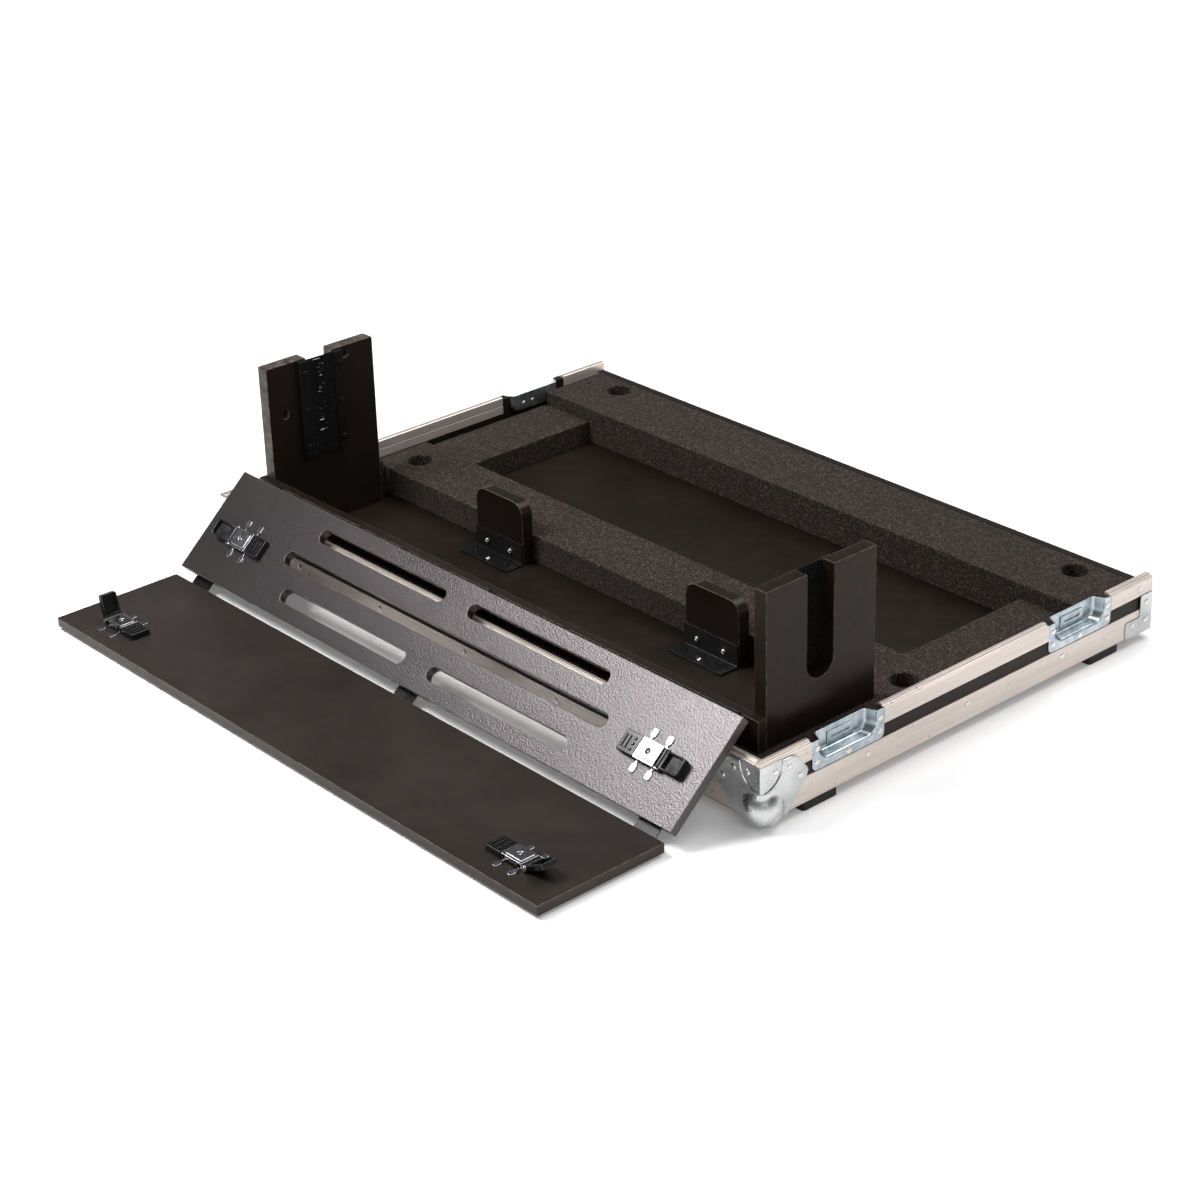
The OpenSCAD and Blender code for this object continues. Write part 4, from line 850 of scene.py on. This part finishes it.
holder_black = moulded("holder_black", (0.0035, 0.0031, 0.0030), 0.40, specular=0.12)
nylon = moulded("nylon", (0.0030, 0.0028, 0.0028), 0.60, specular=0.10)
holder = rectangle(-HOLDER_W / 2, HOLDER_W / 2, 0, BRUSH_L, 1.5)
for sign, side, x, edges in ((-1, "left", -END_X, (0.3, 1.0)), (1, "right", END_X - HOLDER_T, (1.0, 0.3))):
    middle = sign * (END_X - HOLDER_T / 2)
    strips, combs = [], []
    for toward in (-1, 1):
        y = SLOT_Y - toward * (SLOT_R + HOLDER_W / 2)
        strips.append(slab([holder], HOLDER_T, edges, (x, y, BRUSH_Z), SIDEWAYS, steps=3))
        combs += [comb(middle + COMB_PITCH * (k - (COMBS - 1) / 2), SLOT_Y - toward * SLOT_R, toward,
                       seed=10 * k + toward + sign + 50) for k in range(COMBS)]
    piece(f"{side}_brush_strips", strips, holder_black, "black_bristle", f"{side}_brush_holders")
    piece(f"{side}_brush_combs", combs, nylon, "black_bristle", f"{side}_bristles")


# Stop brackets: black steel angles in front of the stops, screwed to the stop and to the
# floor board.
ANGLE_Y, ANGLE_T, ANGLE_UP, ANGLE_OUT = 218.0, 3.0, 30.0, 30.0
bracket_black = moulded("bracket_black", (0.006, 0.0057, 0.0058), 0.24, 700, 0.00002, specular=0.3)
heel, toe = ANGLE_Y - ANGLE_T, ANGLE_Y - ANGLE_OUT
angle = softened([(heel, 0), (ANGLE_Y, 0), (ANGLE_Y, ANGLE_UP), (heel, ANGLE_UP), (heel, ANGLE_T),
                  (toe, ANGLE_T), (toe, 0)], [0.3, 1.6, 0.6, 0.6, 1.5, 0.6, 0.6])
for sign, side in SIDES:
    bent = slab([angle], STOP_W, 0.4, (sign * STOP_X - STOP_W / 2, 0, FLOOR_Z), SIDEWAYS)
    piece(f"{side}_stop_angle", [bent], bracket_black, "black_steel", f"{side}_stop_bracket")


# Screws: pan heads with a driver's sink, through the stop brackets and the brush holders.
# Two on each bracket's foot and all on the brush holders are blackened, the others bright.
SCREW_D, TALL_HEAD, FLAT_HEAD = 7.0, 2.5, 1.4
PAN_SHARES = [(0, 0), (1, 0), (1, 0.35), (0.93, 0.72), (0.75, 0.95), (0.5, 1), (0.44, 0.95), (0.36, 0.35),
              (0, 0.3)]
SCREW_BLACK = (0.022, 0.020, 0.020, 1)
HOLDER_SCREW_Y, HOLDER_SCREW_SHARES = 27.5, (0.12, 0.5, 0.88)


def screw_head(place, out, height):
    """A lathed pan head of shares of its radius and height."""
    return facing(lathe(np.array(PAN_SHARES) * (SCREW_D / 2, height), 18), place, out)


def blackened(shape):
    """The shape with its wear set to 1, which the screws' material turns black."""
    return (shape[0], shape[1], shape[2] + 1)


screw_metal = bright_steel("screw_metal", (0.78, 0.77, 0.75), (0.52, 0.51, 0.50), 0.22)
tree = screw_metal.node_tree
colour = tree.nodes["Principled BSDF"].inputs["Base Color"]
black = node(tree, "Attribute", attribute_name="wear")
tree.links.new(mixed(tree, colour.links[0].from_socket, SCREW_BLACK, black.outputs["Fac"]), colour)
heads = []
for sign in (-1, 1):
    x, top = sign * STOP_X, FLOOR_Z + ANGLE_T
    heads += [screw_head((x + dx, heel, FLOOR_Z + 15), (0, -1, 0), TALL_HEAD) for dx in (-22.5, 22.5)]
    heads.append(screw_head((x, 196.5, top), Z, FLAT_HEAD))
    heads += [blackened(screw_head((x + dx, 200, top), Z, FLAT_HEAD)) for dx in (-30, 30)]
    x = sign * (END_X - HOLDER_T)
    heads += [blackened(screw_head((x, SLOT_Y + dy, BRUSH_Z + share * BRUSH_L), (-sign, 0, 0), FLAT_HEAD))
              for dy in (-HOLDER_SCREW_Y, HOLDER_SCREW_Y) for share in HOLDER_SCREW_SHARES]
piece("tray_screw_heads", heads, screw_metal, "rivet_steel", "tray_screws")


# Slotted panel: twelve millimetre board with a pressed leather-grain face and five routed
# cable slots. It hangs on the plank by three hinges and stands open over the front rail.
PANEL_Y, PANEL_Z, PANEL_H = 34.7, 108.0, 145.0
CABLE_SLOT_R, LONG_SLOT, SHORT_SLOT = 9.0, (-297, 594), 243.0
SHORT_SLOT_X, SHORT_SLOT_UP = (22, -265), 43.5
LEATHER_TINT = (1.0, 0.92, 0.96, 1)
joints = {joint["name"]: joint for joint in frame["joints"]}


def swung(shape, *names):
    """A shape drawn shut, turned about each named joint's axis in turn to where it lies at
    rest: the turned height and depth are the usual sums of sines and cosines."""
    points = shape[0].copy()
    for name in names:
        axis = np.array(joints[name]["pos_m"]) / MM
        a = np.radians(joints[name]["range_deg"][1])
        y, z = points[:, 1] - (axis[1] - FRONT_Y), points[:, 2] - axis[2]
        points[:, 1] = axis[1] - FRONT_Y + y * np.cos(a) - z * np.sin(a)
        points[:, 2] = axis[2] + y * np.sin(a) + z * np.cos(a)
    return (points, *shape[1:])


def cable_slot(x, length, z):
    """A round-ended slot from x on."""
    return round_ended((x + CABLE_SLOT_R, z), (x + length - CABLE_SLOT_R, z), CABLE_SLOT_R, 14)


leather_grain = sawn_board("leather_grain", (0.017, 0.0140, 0.0138), (0.024, 0.0205, 0.0200), 0.30, RUBBED,
                           grain=460, depth=0.00042, specular=0.7, wander=0.01, tint=LEATHER_TINT)
middle = PANEL_H / 2
slots = [cable_slot(*LONG_SLOT, middle)]
slots += [cable_slot(x, SHORT_SLOT, middle + s * SHORT_SLOT_UP) for x in SHORT_SLOT_X for s in (-1, 1)]
panel = rectangle(-FLAP_X, FLAP_X, 0, PANEL_H, 1.2)
shut = slab([panel] + slots, FLAP_T, 0.8, (0, PANEL_Y + FLAP_T, PANEL_Z), UPRIGHT)
piece("slotted_panel_routed", [swung(shut, "panel_hinge")], leather_grain, "textured_board",
      "slotted_panel", body="slotted_flap")


# Lid: plain film-faced board that folds flat on the ground from the slotted panel's edge.
# It moves with both hinges, and its sawn edges are rubbed to the warm veneer.
LID_Y, LID_Z, LID_D = 37.5, 256.3, 176.0
LID_RUBBED = (0.19, 0.14, 0.11)
lid_film = sawn_board("lid_film", (0.015, 0.0115, 0.0105), (0.024, 0.019, 0.0175), 0.33, LID_RUBBED)
shut = slab([rectangle(-FLAP_X, FLAP_X, LID_Y, LID_Y + LID_D, 1.5)], FLAP_T, 0.7, (0, 0, LID_Z))
piece("lid_sawn", [swung(shut, "panel_hinge", "lid_hinge")], lid_film, "laminated_board", "lid_panel",
      body="lid_flap")


# Hinges: black steel butt hinges, three above and three below, with bright pins. The part's
# own leaves and pins stay and get their finish.
dress(["plank_hinge_leaves", "panel_upper_leaves", "panel_lower_leaves", "lid_hinge_leaves"], bracket_black)
dress(["plank_hinge_pins", "lid_hinge_pins"], screw_metal)


# Latches: a moulded base, a pressed zinc saddle with four riveted tabs, and a glossy hollow
# lever on a steel pin. Two shut the slotted panel on the end boards and two shut the lid.
LATCH_W, BASE_END, BASE_START, BASE_H, UNDER_H = 26.0, 42.0, 16.2, 8.2, 6.8
RIDGE_X, STUD_X, STUD_Y, STUD_R, MARK_H = (-37.5, -31.5), -24.3, (-6.5, 0, 6.5), 2.3, 1.5
SADDLE_L, SADDLE_T, SADDLE_H, SKIRT_Z, SKIRT_L = 32.0, 1.5, 8.5, 3.2, 31.0
STEP_Z, STEP_H, SINK_R, TAB_X, TAB_W, TAB_Z = 8.0, 1.3, 3.1, 12.0, 4.4, 1.0
PIN_X, PIN_Z, PIN_R, EAR_R, EAR_X, EAR_HOLE_R = 20.5, 5.0, 1.5, 3.6, 12.0, 1.56
LEVER_L, LEVER_W, LEVER_T, BARREL_R, TIP_R = 32.0, 22.4, 7.0, 4.0, 4.0
LEVER_FLOOR, LEVER_RIM, LEVER_BACK = 2.1, 1.6, 0.5
LATCH_RIVETS = [(x, y) for x in (-12, 12) for y in (-19.5, 19.5)]
FLAP_LATCHES = {
    "panel": ((376.0, PANEL_Y + FLAP_T, PANEL_Z + 80.8), (0, 0, -1), ["panel_hinge"]),
    "lid": ((376.5, LID_Y + 131.5, LID_Z), (0, -1, 0), ["panel_hinge", "lid_hinge"]),
}
LEVER_ANGLES = {"left_panel": 10, "right_panel": 4, "left_lid": 76, "right_lid": 26}


def latch_base_shapes():
    """A block with soft edges, two ridges and three studs on its top, and a low block that the
    saddle straddles."""
    half = LATCH_W / 2
    marks = [(rectangle(x - 1.1, x + 1.1, -8, 8, 1.0), 0.5) for x in RIDGE_X]
    marks += [(ring((STUD_X, y), STUD_R, 20), 0.6) for y in STUD_Y]
    return [slab([rectangle(-BASE_END, -BASE_START, -half, half, 2.5)], BASE_H, (0.2, 1.2), steps=3),
            slab([rectangle(-15.5, 15.5, -9.8, 9.8, 1)], UNDER_H, 0.3, steps=3),
            *(slab([mark], MARK_H, (0.1, edge), (0, 0, BASE_H - 0.1), steps=3) for mark, edge in marks)]


def dropped(s, foot, length, x):
    """A wall under the saddle's long edge on the side s, down to foot, with its middle at x."""
    outer, inner, top = s * LATCH_W / 2, s * (LATCH_W / 2 - SADDLE_T), SADDLE_H - 0.1
    wall = softened([(inner, foot), (inner, top), (outer, top), (outer, foot)], 0.3)
    return slab([wall], length, 0.25, (x - length / 2, 0, 0), SIDEWAYS)


def saddle_shapes():
    """The top plate with a raised middle and the rivet sunk in it, its two skirts, four tabs
    that drop from its long sides and run out flat on the board, and two ears for the pin."""
    long, wide, under = SADDLE_L / 2, LATCH_W / 2, SADDLE_H - 0.1
    sink, hole = ring((0, 0), SINK_R, 20), ring((PIN_X, PIN_Z), EAR_HOLE_R, 20)
    top, step = rectangle(-long, long, -wide, wide, 0.8), rectangle(-13, 13, -10, 10, 1.5)
    ear = np.concatenate([[(EAR_X, 0.4), (PIN_X, 0.6)], arc((PIN_X, PIN_Z), EAR_R, -80, 80, 12),
                          [(19, under), (EAR_X, under)]])
    shapes = [slab([top, sink], SADDLE_T, (0.2, 0.6), (0, 0, SADDLE_H - SADDLE_T)),
              slab([step, sink], STEP_H, (0.1, 1.1), (0, 0, STEP_Z), steps=3),
              rivet_head((0, 0, 6.9), Z, 4, 1.8)]
    for s in (-1, 1):
        shapes.append(dropped(s, SKIRT_Z, SKIRT_L, 0))
        for x in (-TAB_X, TAB_X):
            pad = softened([(x - 1.8, 11.5), (x + 1.8, 11.5), (x + 1.8, 17), (x + 4.2, 18), (x + 4.2, 27.5),
                            (x - 4.2, 27.5), (x - 4.2, 18), (x - 1.8, 17)],
                           [0.1, 0.1, 1.2, 2, 2.8, 2.8, 2, 1.2])
            shapes += [dropped(s, TAB_Z, TAB_W, x), slab([pad * [1, s]], SADDLE_T, (0.1, 0.6))]
        shapes.append(slab([ear, hole], SADDLE_T, 0.3, (0, wide if s > 0 else SADDLE_T - wide, 0), UPRIGHT))
    return shapes


def rod(radius, length, edge, sides, x, z):
    """A rod across the latch with its ends' edges broken."""
    profile = [(0, 0), (radius - edge, 0), (radius, edge), (radius, length - edge),
               (radius - edge, length), (0, length)]
    return placed(lathe(profile, sides), (x, length / 2, z), *UPRIGHT)


def lever_shapes(lift):
    """A shallow tray with a round tip, open on its upper side, on a barrel round the pin. The
    whole is turned up from the board by lift, in degrees."""
    half, reach, hollow = LEVER_W / 2, LEVER_L - TIP_R, TIP_R - LEVER_RIM
    tip = arc((reach, half - TIP_R), TIP_R, 0, 90, 10)
    outer = np.concatenate([[[-LEVER_BACK, -half], [reach, -half]], (tip * [1, -1])[::-1], tip,
                            [[-LEVER_BACK, half]]])
    x, y = LEVER_L - 4.4, half - 4.4
    inner = np.concatenate([[(6, 9.2), (6, -9.2)], arc((x, -y), hollow, -90, 0, 8),
                            arc((x, y), hollow, 0, 90, 8)])
    shapes = [slab([outer], LEVER_FLOOR, (0.9, 0.0), (0, 0, -BARREL_R), steps=3),
              slab([outer, inner], LEVER_T - 2, (0.0, 0.8), (0, 0, -2), steps=3),
              rod(BARREL_R, LEVER_W, 0.6, 28, 0, 0)]
    c, s = np.cos(np.radians(lift)), np.sin(np.radians(lift))
    return [placed(shape, (PIN_X, 0, PIN_Z), (c, 0, s), Y) for shape in shapes]


def on_flap(shapes, flap, sign):
    """A latch's shapes from its own frame, x towards the case's end and z off the board, to
    the slotted panel's inner face or the lid's underside, then to rest."""
    (x, y, z), across, names = FLAP_LATCHES[flap]
    across = sign * np.array(across)
    return [swung(placed(shape, (sign * x, y, z), (sign, 0, 0), across), *names) for shape in shapes]


latch_black = moulded("latch_black", (0.006, 0.006, 0.0065), 0.16, 500, 0.000015, specular=0.35)
latch_zinc = bright_steel("latch_zinc", (0.44, 0.44, 0.46), (0.24, 0.24, 0.26), 0.24, 140)
closed_rivets = [rivet_head((x, y, -FLAP_T), (0, 0, -1), 10, 1.4) for x, y in LATCH_RIVETS]
groups = [
    ("blocks", "bases", latch_base_shapes(), latch_black, "latch_plastic"),
    ("saddles_pressed", "saddles", saddle_shapes(), latch_zinc, "zinc_steel"),
    ("rivet_heads", "rivets", closed_rivets, rivet_metal, "rivet_steel"),
    ("pin_rods", "pins", [rod(PIN_R, LATCH_W, 0.3, 20, PIN_X, PIN_Z)], screw_metal, "steel_pin"),
]
for flap, body in (("panel", "slotted_flap"), ("lid", "lid_flap")):
    for name, node_name, shapes, material, slot in groups:
        both = on_flap(shapes, flap, -1) + on_flap(shapes, flap, 1)
        piece(f"{flap}_latch_{name}", both, material, slot, f"{flap}_latch_{node_name}", body=body)
    for sign, side in SIDES:
        lever = f"{side}_{flap}_lever"
        shapes = on_flap(lever_shapes(LEVER_ANGLES[f"{side}_{flap}"]), flap, sign)
        piece(f"{lever}_moulded", shapes, latch_black, "latch_plastic", lever, body=lever)
